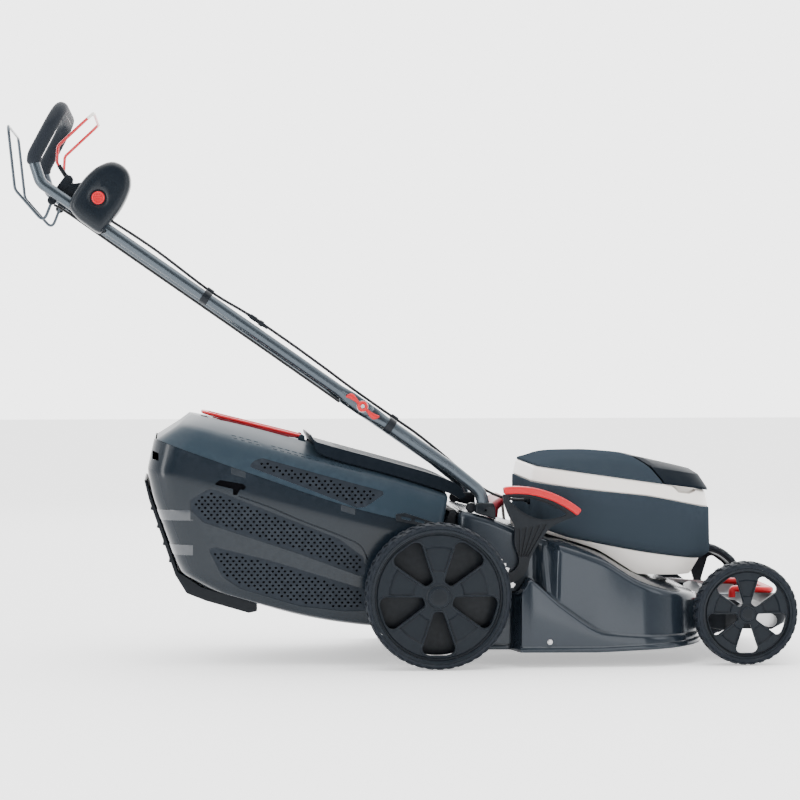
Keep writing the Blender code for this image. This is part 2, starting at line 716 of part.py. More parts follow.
# Blade unit: motor shaft, carrier, blade and bolt turn together
rotor = pivot("blade_axis", (CUT_X, 0.0, BLADE_Z), mower)
CUT_CENTRE = (CUT_X, 0.0, 0.0)
blade_top = BLADE_Z + BLADE_T
carrier_low = blade_top + GAP
shaft_low = carrier_low + 0.004
motor_low = SEAT_Z + GAP
motor_top = motor_low + MOTOR_H
add("rotor_shaft", turned([(SHAFT_R, shaft_low), (SHAFT_R, motor_low + 0.018), (ROTOR_R, motor_low + 0.020),
                           (ROTOR_R, motor_top - 0.016), (SHAFT_R, motor_top - 0.014),
                           (SHAFT_R, motor_top - 0.006)], 16, "Z", CUT_CENTRE), "steel", rotor)
carrier = turned([(CARRIER_R, carrier_low), (CARRIER_R, carrier_low + 0.006), (0.014, carrier_low + 0.010),
                  (0.014, carrier_low + 0.022), (bore(SHAFT_R, 20), carrier_low + 0.022),
                  (bore(SHAFT_R, 20), shaft_low - GAP)], 20, "Z", CUT_CENTRE)
add("blade_carrier", carrier, "black_plastic", rotor)


# The blade is skinned along its length: half width, and lift of its trailing
# edge, which turns up into a wing near each tip.
BLADE_WING = 0.014
blade_stations = [(-BLADE_R, 0.018, BLADE_WING), (-BLADE_R + 0.006, BLADE_W / 2, BLADE_WING),
                  (-0.150, BLADE_W / 2, BLADE_WING), (-0.132, BLADE_W / 2, 0.0), (-0.055, 0.021, 0.0),
                  (0.055, 0.021, 0.0), (0.132, BLADE_W / 2, 0.0), (0.150, BLADE_W / 2, BLADE_WING),
                  (BLADE_R - 0.006, BLADE_W / 2, BLADE_WING), (BLADE_R, 0.018, BLADE_WING)]
blade_rows = []
for x, half, wing in blade_stations:
    trail = -math.copysign(1.0, x)
    row = []
    for y, lift, thick in ((-trail * half, 0.0, 0.0015), (0.2 * trail * half, 0.0, BLADE_T),
                           (trail * half, wing, BLADE_T)):
        row.append((y, BLADE_Z + lift, BLADE_Z + lift + thick))
    if trail < 0:
        row.reverse()
    blade_rows.append([(CUT_X + x, y, low) for y, low, top in row]
                      + [(CUT_X + x, y, top) for y, low, top in reversed(row)])
blade = add("blade", loft(blade_rows), "steel", rotor)
cut(blade, turned([(0.0056, BLADE_Z - 0.01), (0.0056, blade_top + 0.01)], 12, "Z", CUT_CENTRE), rotor)
add("blade_bolt", turned([(0.010, BLADE_Z - GAP - 0.006), (0.010, BLADE_Z - GAP - 0.0015),
                          (0.014, BLADE_Z - GAP - 0.0015), (0.014, BLADE_Z - GAP), (0.0050, BLADE_Z - GAP),
                          (0.0050, carrier_low - GAP)], 12, "Z", CUT_CENTRE), "steel", rotor)

# Motor on the deck's seat
motor = turned([(MOTOR_R - 0.004, motor_low), (MOTOR_R, motor_low + 0.004), (MOTOR_R, motor_top - 0.010),
                (MOTOR_R - 0.012, motor_top), (0.012, motor_top), (0.012, motor_top - 0.003),
                (ROTOR_R + 0.001, motor_top - 0.0145), (ROTOR_R + 0.001, motor_low + 0.0185),
                (0.0165, motor_low + 0.014), (0.0165, motor_low)], 24, "Z", CUT_CENTRE, closed=True)
add("motor_housing", motor, "black_plastic", mower)
bearing_bore = bore(SHAFT_R, 24)
bearing = turned([(0.0160, motor_low), (0.0160, motor_low + 0.010), (bearing_bore, motor_low + 0.010),
                  (bearing_bore, motor_low)], 24, "Z", CUT_CENTRE, closed=True)
add("motor_bearing", bearing, "steel", mower)

# Front cover over the front axle, with the red carrying grip
FRONT_COVER_Y = 0.1800
COVER_BACK_X = DECK_FRONT_X + 0.0045
COVER_NOSE_X = WHEELBASE + 0.080
COVER_TAPER_Y = 0.100
cover_run = WHEELBASE - COVER_BACK_X
cover_profile = [(COVER_BACK_X, 0.060), (WHEELBASE, 0.064), (WHEELBASE + 0.062, 0.062), (WHEELBASE + 0.090, 0.074),
                 (WHEELBASE + 0.100, 0.094), (WHEELBASE + 0.102, 0.118), (WHEELBASE + 0.094, 0.120),
                 (WHEELBASE + 0.076, 0.098), (WHEELBASE + 0.052, 0.094), (WHEELBASE + 0.026, 0.094),
                 (COVER_BACK_X + 0.94 * cover_run, 0.114), (COVER_BACK_X + 0.62 * cover_run, 0.120),
                 (COVER_BACK_X, 0.123)]
cover_rows = []
for y, shrink in ((-FRONT_COVER_Y, 0.010), (-FRONT_COVER_Y + 0.012, 0.0), (-0.060, 0.0), (0.060, 0.0),
                  (FRONT_COVER_Y - 0.012, 0.0), (FRONT_COVER_Y, 0.010)):
    row = []
    for x, z in cover_profile:
        if x == COVER_BACK_X:
            x += 0.55 * cover_run * max(0.0, abs(y) - COVER_TAPER_Y) / (FRONT_COVER_Y - COVER_TAPER_Y)
        elif x > COVER_NOSE_X:
            x -= shrink
        row.append((x, y, z))
    cover_rows.append(row)
cover = add("front_cover", loft(cover_rows), "grey_plastic", mower)
drill(cover, mower, FRONT_PIVOT, 0.007, -0.2, 0.2, AXLE_SIDES)

FRONT_GRIP_Z = 0.1290
FRONT_GRIP_Y = 0.085
grip_foot_x = WHEELBASE + 0.004
grip_nose_x = WHEELBASE + 0.082
grip_path = rounded([(grip_foot_x, -FRONT_GRIP_Y, FRONT_GRIP_Z - 0.013),
                     (grip_foot_x, -FRONT_GRIP_Y, FRONT_GRIP_Z + 0.004),
                     (grip_nose_x, -FRONT_GRIP_Y, FRONT_GRIP_Z), (grip_nose_x, FRONT_GRIP_Y, FRONT_GRIP_Z),
                     (grip_foot_x, FRONT_GRIP_Y, FRONT_GRIP_Z + 0.004),
                     (grip_foot_x, FRONT_GRIP_Y, FRONT_GRIP_Z - 0.013)], [0.010, 0.022, 0.022, 0.010], 3)
front_grip = add("front_grip", swept(grip_path, [(0.0065, 0.010, 0.0)] * len(grip_path), 8), "red_plastic", mower)


# Handle
# The lower tubes stand in sockets on the deck; the upper handle is one tube
# bent into a U, which folds forward about the wing nuts.
FOLD_SLOPE = math.radians(34.85)
RISE = Vector((-math.cos(FOLD_SLOPE), 0.0, math.sin(FOLD_SLOPE)))
FOLD = Vector((FOLD_X, 0.0, FOLD_Z))
SOCKET_X = 0.0985
SOCKET_TOP_Z = 0.3130
TUBE_FOOT_Z = 0.2945
LOWER_Y = HANDLE_Y - 0.0095
handle = pivot("handle_fold_axis", (FOLD_X, 0.0, FOLD_Z), mower)


def shifted(point, y):
    return Vector((point.x, y, point.z))


# Side-view point (x, z) at a distance from the fold.
def from_fold(x, z):
    return (FOLD_X + x, FOLD_Z + z)


def from_fold_at(x, y, z):
    return (FOLD_X + x, y, FOLD_Z + z)


for hand in SIDES:
    word = SIDE_NAMES[hand]
    # Lower tube: round in its socket, pressed flat where the upper tube bolts on
    y = hand * LOWER_Y
    foot = Vector((SOCKET_X, y, TUBE_FOOT_Z))
    knee = Vector((0.0905, y, 0.3330))
    bend = shifted(FOLD - RISE * 0.210, y)
    end = shifted(FOLD + RISE * 0.022, y)
    path = rounded([foot, knee, bend, end], [0.040, 0.050], 3)
    flat_start = shifted(FOLD - RISE * 0.046, y)
    flat_full = shifted(FOLD - RISE * 0.024, y)
    path = path[:-1] + [flat_start, flat_full, shifted(FOLD + RISE * 0.014, y), end]
    round_size = (LOWER_TUBE_R, LOWER_TUBE_R, 0.0)
    flat_y = HANDLE_Y + 0.0035 - FLAT_T - GAP
    flat = (FLAT_W / 2, FLAT_T / 2, (flat_y - LOWER_Y) * hand)
    flat_end = (FLAT_W / 2 - 0.006, FLAT_T / 2, (flat_y - LOWER_Y) * hand)
    sizes = [round_size] * (len(path) - 3) + [flat, flat, flat_end]
    tube = add(f"lower_handle_{word}", swept(path, sizes, 10), "tube_paint", mower, smooth=50)
    socket = add(f"handle_socket_{word}",
                 side_plate([(0.079, 0.2922), (0.100, 0.2868), (0.119, 0.2798), (0.118, 0.302),
                             (0.114, SOCKET_TOP_Z), (0.083, SOCKET_TOP_Z), (0.079, 0.306)],
                            hand * 0.1535, hand * 0.1875),
                 "black_plastic", mower)
    soften(socket, 0.002)
    hole_r = bore(LOWER_TUBE_R, 16, GAP)
    hole = wire([foot - Vector((0.0, 0.0, GAP)), knee + Vector((0.0, 0.0, 0.0))], hole_r, 16)
    cut(socket, hole, mower)

# Upper handle path: up the right side, across the grip bar, down the left
GRIP_LOW = FOLD + RISE * 0.745
GRIP_BEND = Vector(from_fold_at(-0.626, 0.0, 0.472))
GRIP_TOP = Vector(from_fold_at(-0.574, 0.0, 0.570))
upper_start = FOLD - RISE * 0.022
corner = [shifted(upper_start, -HANDLE_Y), shifted(FOLD - RISE * 0.014, -HANDLE_Y),
          shifted(FOLD + RISE * 0.060, -HANDLE_Y), shifted(FOLD + RISE * 0.082, -HANDLE_Y)]
right_side = [shifted(FOLD + RISE * 0.100, -HANDLE_Y), shifted(GRIP_LOW, -HANDLE_Y),
              shifted(GRIP_BEND, -HANDLE_Y), shifted(GRIP_TOP, -HANDLE_Y)]
left_side = [Vector((p.x, -p.y, p.z)) for p in reversed(right_side)]
bends = rounded(right_side + left_side, [0.030, 0.030, 0.060, 0.060, 0.030, 0.030], 4)
corner_left = [Vector((p.x, -p.y, p.z)) for p in reversed(corner)]
upper_path = corner + bends[1:-1] + corner_left
pressed_y = HANDLE_Y + 0.0035
flat_end = (FLAT_W / 2 - 0.006, FLAT_T / 2, 0.0)
flat = (FLAT_W / 2, FLAT_T / 2, 0.0)
round_size = (UPPER_TUBE_R, UPPER_TUBE_R, 0.0)
upper_sizes = [flat_end, flat, flat] + [round_size] * (len(upper_path) - 6) + [flat, flat, flat_end]
for i in (0, 1, 2):
    upper_path[i].y = -pressed_y
    upper_path[-1 - i].y = pressed_y
upper = add("upper_handle", swept(upper_path, upper_sizes, 10), "tube_paint", handle, smooth=50)

# Wing nuts on clamp bolts through both tubes
BOLT_R = 0.004
WING_Y = pressed_y + FLAT_T / 2
BOLT_IN_Y = flat_y - FLAT_T / 2
for hand in SIDES:
    word = SIDE_NAMES[hand]
    drill(bpy.data.objects[f"lower_handle_{word}"], mower, (FOLD_X, FOLD_Z), BOLT_R,
          hand * (BOLT_IN_Y - 0.02), hand * (WING_Y + 0.02), 10)
    drill(upper, handle, (FOLD_X, FOLD_Z), BOLT_R, hand * (BOLT_IN_Y - 0.02), hand * (WING_Y + 0.02), 10)
    nut_axis = pivot(f"wing_nut_{word}_axis", (FOLD_X, hand * WING_Y, FOLD_Z), handle)
    y0 = WING_Y + GAP
    hub = turned([(0.0105, hand * y0), (0.0105, hand * (y0 + 0.006)), (0.007, hand * (y0 + 0.009))], 14, "Y",
                 (FOLD_X, 0.0, FOLD_Z))
    nut = add(f"wing_nut_{word}", hub, "red_plastic", nut_axis)
    across = Vector((RISE.z, 0.0, -RISE.x))
    for turn in (-1, 1):
        wing = []
        for reach, width, sweep in ((0.004, 0.0055, 0.0), (0.016, 0.0050, 0.0035), (0.030, 0.0055, 0.0040),
                                    (0.038, 0.0040, 0.0)):
            wing.append((reach, width, sweep))
        upper_edge = []
        lower_edge = []
        for reach, width, sweep in wing:
            middle = FOLD + RISE * (turn * reach) + across * (turn * sweep)
            upper_edge.append((middle.x + across.x * width, middle.z + across.z * width))
            lower_edge.append((middle.x - across.x * width, middle.z - across.z * width))
        outline = upper_edge + lower_edge[::-1]
        weld(nut, side_plate(outline, hand * (y0 + 0.0015), hand * (y0 + 0.0055)), nut_axis)
    stem = turned([(BOLT_R, hand * (BOLT_IN_Y - 0.003)), (BOLT_R, hand * (y0 + 0.002))], 10, "Y",
                  (FOLD_X, 0.0, FOLD_Z))
    weld(nut, stem, nut_axis)
    weld(nut, turned([(0.009, hand * (BOLT_IN_Y - GAP - 0.004)), (0.009, hand * (BOLT_IN_Y - GAP))], 8, "Y",
                     (FOLD_X, 0.0, FOLD_Z)), nut_axis)

# Foam grip round the top of the U
grip_points = [p for p in bends if p.z > GRIP_BEND.z - 0.012]
grip = add("grip_sleeve", wire(grip_points, GRIP_R, 10), "foam", handle, smooth=60)
cut(grip, wire([grip_points[0] + (grip_points[0] - grip_points[1]).normalized() * 0.01] + grip_points
               + [grip_points[-1] + (grip_points[-1] - grip_points[-2]).normalized() * 0.01],
               bore(UPPER_TUBE_R, 10, GAP), 10), handle)

# Switch box: two shells clamped round the right tube
BOX_IN_Y = 0.1560
BOX_OUT_Y = 0.2150
BUTTON = from_fold(-0.502, 0.396)
BUTTON_R = 0.0125
DISH_R = 0.0240
switch_outline = [from_fold(x, z) for x, z in (
    (-0.557, 0.378), (-0.544, 0.359), (-0.528, 0.346), (-0.502, 0.329), (-0.490, 0.336), (-0.476, 0.353),
    (-0.461, 0.372), (-0.448, 0.396), (-0.440, 0.421), (-0.443, 0.444), (-0.457, 0.460), (-0.478, 0.466),
    (-0.504, 0.456), (-0.526, 0.437), (-0.543, 0.414), (-0.552, 0.399))]
switch_middle = Vector(from_fold(-0.498, 0.398))


def shrunk(outline, middle, share):
    return [(middle.x + (x - middle.x) * share, middle.y + (z - middle.y) * share) for x, z in outline]


def switch_half(name, levels):
    rings = []
    for y, share in levels:
        rings.append([(x, -y, z) for x, z in shrunk(switch_outline, switch_middle, share)])
    half = add(name, loft(rings), "dark_plastic", handle, smooth=40)
    run = [shifted(FOLD + RISE * 0.50, -HANDLE_Y), shifted(FOLD + RISE * 0.72, -HANDLE_Y)]
    cut(half, wire(run, bore(UPPER_TUBE_R, 12, GAP), 12), handle)
    return half


outer = switch_half("switch_box_outer", [(HANDLE_Y + GAP / 2, 1.0), (BOX_OUT_Y - 0.010, 0.99),
                                         (BOX_OUT_Y - 0.003, 0.95), (BOX_OUT_Y, 0.87)])
inner = switch_half("switch_box_inner", [(BOX_IN_Y, 0.90), (BOX_IN_Y + 0.004, 0.98), (HANDLE_Y - GAP / 2, 1.0)])
dish = turned([(BUTTON_R + 0.001, -BOX_OUT_Y + 0.014), (BUTTON_R + 0.001, -BOX_OUT_Y + 0.004),
               (DISH_R, -BOX_OUT_Y - 0.001)], 16, "Y", (BUTTON[0], 0.0, BUTTON[1]))
cut(outer, dish, handle)
button_axis = pivot("start_button_axis", (BUTTON[0], -BOX_OUT_Y, BUTTON[1]), handle)
add("start_button", turned([(BUTTON_R, -BOX_OUT_Y + 0.0075), (BUTTON_R, -BOX_OUT_Y - 0.0005),
                            (BUTTON_R - 0.002, -BOX_OUT_Y - 0.0025), (BUTTON_R - 0.005, -BOX_OUT_Y - 0.0025),
                            (BUTTON_R - 0.006, -BOX_OUT_Y - 0.0015)], 16, "Y", (BUTTON[0], 0.0, BUTTON[1])),
    "red_plastic", button_axis)

MOTOR_BAIL_AXIS = from_fold(-0.560, 0.432)
DRIVE_BAIL_AXIS = from_fold(-0.591, 0.393)
BAIL_END_Y = 0.1675

# Motor bail: a wire loop that is pulled back onto the grip
motor_bail = pivot("motor_bail_axis", (MOTOR_BAIL_AXIS[0], 0.0, MOTOR_BAIL_AXIS[1]), handle)
y = MOTOR_BAIL_Y
right = [(MOTOR_BAIL_AXIS[0], -BAIL_END_Y, MOTOR_BAIL_AXIS[1]), (MOTOR_BAIL_AXIS[0], -y, MOTOR_BAIL_AXIS[1]),
         from_fold_at(-0.582, -y, 0.466), from_fold_at(-0.580, -y, 0.498), from_fold_at(-0.512, -y, 0.562)]
left = [(x, -yy, z) for x, yy, z in reversed(right)]
path = rounded(right + left, [0.006, 0.012, 0.014, 0.024, 0.024, 0.014, 0.012, 0.006], 2)
add("motor_bail", wire(path, BAIL_WIRE_R, 6, side=Vector((0.0, 0.0, 1.0))), "red_plastic", motor_bail, smooth=70)

# Drive bail: the grey loop behind the grip, pulled forward onto it
drive_bail = pivot("drive_bail_axis", (DRIVE_BAIL_AXIS[0], 0.0, DRIVE_BAIL_AXIS[1]), handle)
y = DRIVE_BAIL_Y
right = [(DRIVE_BAIL_AXIS[0], -BAIL_END_Y, DRIVE_BAIL_AXIS[1]), (DRIVE_BAIL_AXIS[0], -y, DRIVE_BAIL_AXIS[1]),
         from_fold_at(-0.607, -y, 0.352), from_fold_at(-0.661, -y, 0.414), from_fold_at(-0.674, -y, 0.536)]
left = [(x, -yy, z) for x, yy, z in reversed(right)]
path = rounded(right + left, [0.005, 0.010, 0.022, 0.022, 0.022, 0.022, 0.010, 0.005], 2)
add("drive_bail", wire(path, BAIL_WIRE_R, 6, side=Vector((0.0, 0.0, 1.0))), "tube_paint", drive_bail, smooth=70)


# Cables along the tubes
CABLE_R = 0.0028
CABLE_SIDES = 6
NORMAL = Vector((RISE.z, 0.0, -RISE.x))
cable_lift = UPPER_TUBE_R + CABLE_R + 0.0035
cable_y = -HANDLE_Y + 0.004
upper_run = [shifted(FOLD + RISE * 0.552 + NORMAL * cable_lift, cable_y),
             shifted(FOLD + RISE * 0.350 + NORMAL * (cable_lift + 0.0010), cable_y),
             shifted(FOLD + RISE * 0.190 + NORMAL * (cable_lift + 0.0060), cable_y),
             shifted(FOLD + RISE * 0.085 + NORMAL * (cable_lift + 0.0035), cable_y)]
add("power_cable_upper", wire(rounded(upper_run, [0.5, 0.5], 2), CABLE_R, CABLE_SIDES), "cable_rubber",
    handle, smooth=80)
drive_run = [shifted(FOLD + RISE * 0.640 - NORMAL * (cable_lift + 0.004), -HANDLE_Y + 0.020),
             shifted(FOLD + RISE * 0.540 - NORMAL * cable_lift, -HANDLE_Y + 0.010),
             shifted(FOLD + RISE * 0.040 - NORMAL * (cable_lift + 0.0030), -HANDLE_Y + 0.010)]
add("drive_cable", wire(rounded(drive_run, [0.1], 3), CABLE_R, CABLE_SIDES), "cable_rubber", handle, smooth=80)

# Both ends of the bails turn in ears, one on a clamp of the left tube and one on the switch box
EAR_Y = (0.1618, 0.1682)
ear_outline = link_outline(MOTOR_BAIL_AXIS, DRIVE_BAIL_AXIS, 0.010, 0.009, 4)
bearing = add("bail_bearing", side_plate(ear_outline, *EAR_Y), "dark_plastic", handle)
weld(bearing, side_plate(link_outline(from_fold(-0.582, 0.410), from_fold(-0.550, 0.388), 0.011, 0.017, 4),
                         EAR_Y[0] + GAP,
                         HANDLE_Y + UPPER_TUBE_R + 0.003), handle)
weld(inner, side_plate(ear_outline, -EAR_Y[1], -EAR_Y[0]), handle)
weld(inner, side_plate(link_outline(from_fold(-0.575, 0.412), from_fold(-0.535, 0.412), 0.010, 0.016, 4),
                       -EAR_Y[1] + GAP,
                       -EAR_Y[0] - GAP), handle)
run = [shifted(FOLD + RISE * 0.55, HANDLE_Y), shifted(FOLD + RISE * 0.742, HANDLE_Y)]
cut(bearing, wire(run, bore(UPPER_TUBE_R, 12, GAP), 12), handle)
for piece, hand in ((bearing, LEFT), (inner, RIGHT)):
    for axis in (MOTOR_BAIL_AXIS, DRIVE_BAIL_AXIS):
        drill(piece, handle, axis, BAIL_WIRE_R, hand * (EAR_Y[0] - 0.02), hand * (EAR_Y[1] + 0.0004), 8)

# Hood
FOOT = [(0.157, 0.277), (0.211, 0.258), (0.294, 0.2325), (0.331, 0.219), (0.386, 0.186), (0.410, 0.170),
        (0.530, 0.169)]
BAND_LOW = [(0.157, 0.284), (0.211, 0.265), (0.262, 0.248), (0.300, 0.238), (0.427, 0.214), (0.530, 0.200)]
BAND_TOP = [(0.154, 0.356), (0.249, 0.339), (0.407, 0.314), (0.526, 0.304), (0.545, 0.300)]
CAP = [(0.100, 0.3996), (0.600, 0.3239)]
HOOD_FRONT_X = 0.542


def hood_ring(x0, x1, w, line, lift=0.0, r0=0.035, r1=0.050):
    return on_line(hood_outline(x0, x1, w, r0, r1, 3, 5), line, lift)


WIDE = HOOD_HALF_W
hood = add("hood_shell", loft([
    hood_ring(0.166, 0.506, WIDE - 0.018, FOOT),
    hood_ring(0.162, 0.522, WIDE - 0.008, BAND_LOW, -0.0005),
    hood_ring(0.1655, 0.5185, WIDE - 0.0112, BAND_LOW, 0.0010),
    hood_ring(0.1610, 0.5375, WIDE - 0.0045, BAND_LOW, 0.0140),
    hood_ring(0.1610, 0.5355, WIDE - 0.0045, BAND_TOP, -0.0015),
    hood_ring(0.1575, 0.5385, WIDE - 0.0015, BAND_TOP, 0.0005),
    hood_ring(0.1620, 0.5335, WIDE - 0.0080, CAP, -0.0040),
    hood_ring(0.1660, 0.5295, WIDE - 0.0120, CAP),
], start=False), "cream_plastic", mower, smooth=30)
shell(hood, HOOD_WALL)
PACK_X = (0.4590, 0.5210)
PACK_Y = 0.0740
BAY_CLEAR = 0.0010
DOCK_WALL = 0.0025
bay_x0 = PACK_X[0] - BAY_CLEAR
bay_x1 = PACK_X[1] + BAY_CLEAR
bay_y = PACK_Y + BAY_CLEAR
cut(hood, block(bay_x0, bay_x1, -bay_y, bay_y, 0.310, 0.380), mower)

band = add("hood_band", loft([
    hood_ring(0.1585, 0.5255, WIDE - 0.0045, BAND_LOW, 0.0008),
    hood_ring(0.1560, HOOD_FRONT_X, WIDE, BAND_LOW, 0.0140),
    hood_ring(0.1560, HOOD_FRONT_X - 0.002, WIDE, BAND_TOP, -0.0020),
], start=False, end=False), "slate_plastic", mower, smooth=25)
shell(band, BAND_T)

TOP_SHOULDER = [(0.170, 0.3965), (0.249, 0.4000), (0.308, 0.3975), (0.400, 0.3860), (0.430, 0.3770),
                (0.525, 0.3620)]
TOP_CROWN = [(0.190, 0.4020), (0.249, 0.4075), (0.308, 0.4080), (0.397, 0.4000), (0.426, 0.3930),
             (0.518, 0.3710)]
SEAM_GAP = 0.0030
SEAM_X = (0.4520, 0.4490, 0.4280, 0.4000)
HOOD_CUT_Z = 0.200
UNDER_CAP = [(x, z + GAP) for x, z in CAP] + [(CAP[1][0], HOOD_CUT_Z), (CAP[0][0], HOOD_CUT_Z)]
hood_top = add("hood_top", loft([
    hood_ring(0.1650, SEAM_X[0], WIDE - 0.010, CAP, -0.0030, 0.035, 0.004),
    hood_ring(0.1640, SEAM_X[1], WIDE - 0.009, CAP, 0.0070, 0.035, 0.004),
    hood_ring(0.1780, SEAM_X[2], WIDE - 0.034, TOP_SHOULDER, 0.0, 0.035, 0.004),
    hood_ring(0.1950, SEAM_X[3], WIDE - 0.074, TOP_CROWN, 0.0, 0.035, 0.004),
], start=False, across=True), "slate_plastic", mower, smooth=25)
shell(hood_top, 0.0025)
cut(hood_top, side_plate(UNDER_CAP, -0.2, 0.2), mower)

FLAP_AXIS = (0.4025, 0.4010)
flap_axis = pivot("battery_flap_axis", (FLAP_AXIS[0], 0.0, FLAP_AXIS[1]), mower)
flap = add("battery_flap", loft([
    hood_ring(SEAM_X[0] + SEAM_GAP, 0.5400, WIDE - 0.010, CAP, -0.0030, 0.004, 0.045),
    hood_ring(SEAM_X[1] + SEAM_GAP, 0.5385, WIDE - 0.009, CAP, 0.0070, 0.004, 0.045),
    hood_ring(SEAM_X[2] + SEAM_GAP, 0.5260, WIDE - 0.034, TOP_SHOULDER, 0.0, 0.004, 0.045),
    hood_ring(SEAM_X[3] + SEAM_GAP, 0.5150, WIDE - 0.074, TOP_CROWN, 0.0, 0.004, 0.045),
], start=False, across=True), "black_plastic", flap_axis, smooth=25)
shell(flap, 0.0025)
cut(flap, side_plate(UNDER_CAP, -0.2, 0.2), flap_axis)

# Battery bay, battery and safety key under the flap
DOCK_LOW_Z = 0.2130
dock_x0 = bay_x0 - DOCK_WALL
dock_x1 = bay_x1 + DOCK_WALL
dock_y = bay_y + DOCK_WALL
dock_plan = [(dock_x0, -dock_y), (dock_x1, -dock_y), (dock_x1, dock_y), (dock_x0, dock_y)]
dock = add("battery_dock", loft([[(x, y, DOCK_LOW_Z) for x, y in dock_plan],
                                 on_line(dock_plan, CAP, -HOOD_WALL * 1.012 - GAP)]), "black_plastic", mower)
cut(dock, block(bay_x0 + GAP, bay_x1 - GAP, -bay_y + GAP, bay_y - GAP, DOCK_LOW_Z + DOCK_WALL, 0.380), mower)
pack_low = DOCK_LOW_Z + DOCK_WALL + GAP
pack = add("battery_pack", block(PACK_X[0], PACK_X[1], -PACK_Y, PACK_Y, pack_low, 0.3520), "dark_plastic", mower)
soften(pack, 0.005, 2)
KEY = (0.478, 0.112)
key_axis = pivot("safety_key_axis", (KEY[0], KEY[1], 0.350), mower)
key_low = read_line(CAP, KEY[0]) + 0.0022
key = add("safety_key", turned([(0.010, key_low), (0.010, key_low + 0.004), (0.007, key_low + 0.006)], 12, "Z",
                               (KEY[0], KEY[1], 0.0)), "red_plastic", key_axis)
weld(key, block(KEY[0] - 0.011, KEY[0] + 0.011, KEY[1] - 0.0025, KEY[1] + 0.0025,
                key_low + 0.002, key_low + 0.011), key_axis)

# Rear carrying grip on the deck behind the hood
rear_grip_path = rounded([(0.120, -0.055, 0.2785), (0.122, -0.055, 0.2900), (0.140, -0.052, 0.2950),
                          (0.140, 0.052, 0.2950), (0.122, 0.055, 0.2900), (0.120, 0.055, 0.2785)],
                         [0.006, 0.008, 0.008, 0.006], 2)
add("rear_grip", swept(rear_grip_path, [(0.0045, 0.011, 0.0)] * len(rear_grip_path), 8), "red_plastic", mower)

# Discharge chute from the deck to the box mouth
chute_out_y = CHUTE_Y + 0.006
chute = add("discharge_chute", side_plate([(DECK_REAR_X - GAP, 0.1960), (DECK_REAR_X - GAP, 0.2970),
                                           (0.0330, 0.2970), (-0.0130, 0.1960)], -chute_out_y, chute_out_y),
            "black_plastic", mower)
cut(chute, block(-0.1, 0.1, -CHUTE_Y - 0.002, CHUTE_Y + 0.002, 0.1990, 0.2935), mower)

# Grass box: tub, cover, skid and carrying handle
# Heights along X; the seam runs on past both ends of the box.
SEAM = [(-0.600, 0.4608), (-0.540, 0.4390), (-0.375, 0.3790), (-0.165, 0.3070), (0.020, 0.2620), (0.100, 0.2426)]
RIDGE = [(-0.490, 0.4655), (-0.290, 0.4100), (-0.070, 0.3530), (0.036, 0.3220)]
BOX_CROWN = [(-0.475, 0.4840), (-0.365, 0.4600), (-0.240, 0.4260), (-0.070, 0.3760), (0.030, 0.3340)]
WB = BOX_HALF_W


def box_ring(x0, x1, w, line, lift=0.0, r0=0.050, r1=0.012):
    return on_line(hood_outline(x0, x1, w, r0, r1, 3, 6), line, lift)


box_body = pivot("grass_box_slide", (0.0, 0.0, 0.262), mower)
box_lower = add("box_lower", loft([
    box_ring(-0.5380, 0.0135, WB - 0.002, SEAM, 0.0040),
    box_ring(-0.5520, 0.0030, WB, [(-0.552, 0.380), (0.003, 0.236)]),
    box_ring(-0.5410, -0.0400, WB - 0.002, [(-0.541, 0.325), (-0.040, 0.199)]),
    box_ring(-0.4900, -0.0470, WB - 0.008, [(-0.490, 0.180), (-0.260, 0.133), (-0.047, 0.110)]),
    box_ring(-0.4450, -0.0560, WB - 0.020, [(-0.445, 0.152), (-0.261, 0.102), (-0.126, 0.080), (-0.05, 0.078)]),
    box_ring(-0.4250, -0.0780, WB - 0.040, [(-0.430, 0.146), (-0.261, 0.0965), (-0.126, 0.0745), (-0.05, 0.0725)]),
], start=False, across=True), "dark_plastic", box_body, smooth=25)
shell(box_lower, BOX_WALL)
box_upper = add("box_upper", loft([
    box_ring(-0.5380, 0.0135, WB - 0.002, SEAM, -0.0040),
    box_ring(-0.4900, 0.0290, WB - 0.027, RIDGE),
    box_ring(-0.4700, 0.0250, WB - 0.105, BOX_CROWN),
], start=False, across=True), "slate_plastic", box_body, smooth=25)
shell(box_upper, BOX_WALL)


# Everything between the seam, moved by a step, and a level far above or below.
def beyond_seam(step, level):
    line = [(x, z + step) for x, z in SEAM]
    return side_plate(line + [(SEAM[-1][0], level), (SEAM[0][0], level)], -0.3, 0.3)


SEAM_CUT_TOP_Z = 0.600
cut(box_lower, beyond_seam(-GAP / 2, SEAM_CUT_TOP_Z), box_body)
cut(box_upper, beyond_seam(GAP / 2, 0.0), box_body)
for piece in (box_lower, box_upper):
    cut(piece, side_plate([(-0.040, 0.202), (0.050, 0.202), (0.050, 0.290), (0.000, 0.290)], -CHUTE_Y, CHUTE_Y),
        box_body)
skid = [(-0.559, 0.357), (-0.549, 0.318), (-0.4990, 0.172), (-0.4770, 0.136), (-0.4400, 0.121), (-0.356, 0.096),
        (-0.340, 0.100), (-0.340, 0.1170), (-0.4250, 0.1420), (-0.4470, 0.1490), (-0.4925, 0.1790),
        (-0.5430, 0.3240), (-0.5540, 0.3570)]
add("box_skid", side_plate(skid, -0.120, 0.120), "black_plastic", box_body)

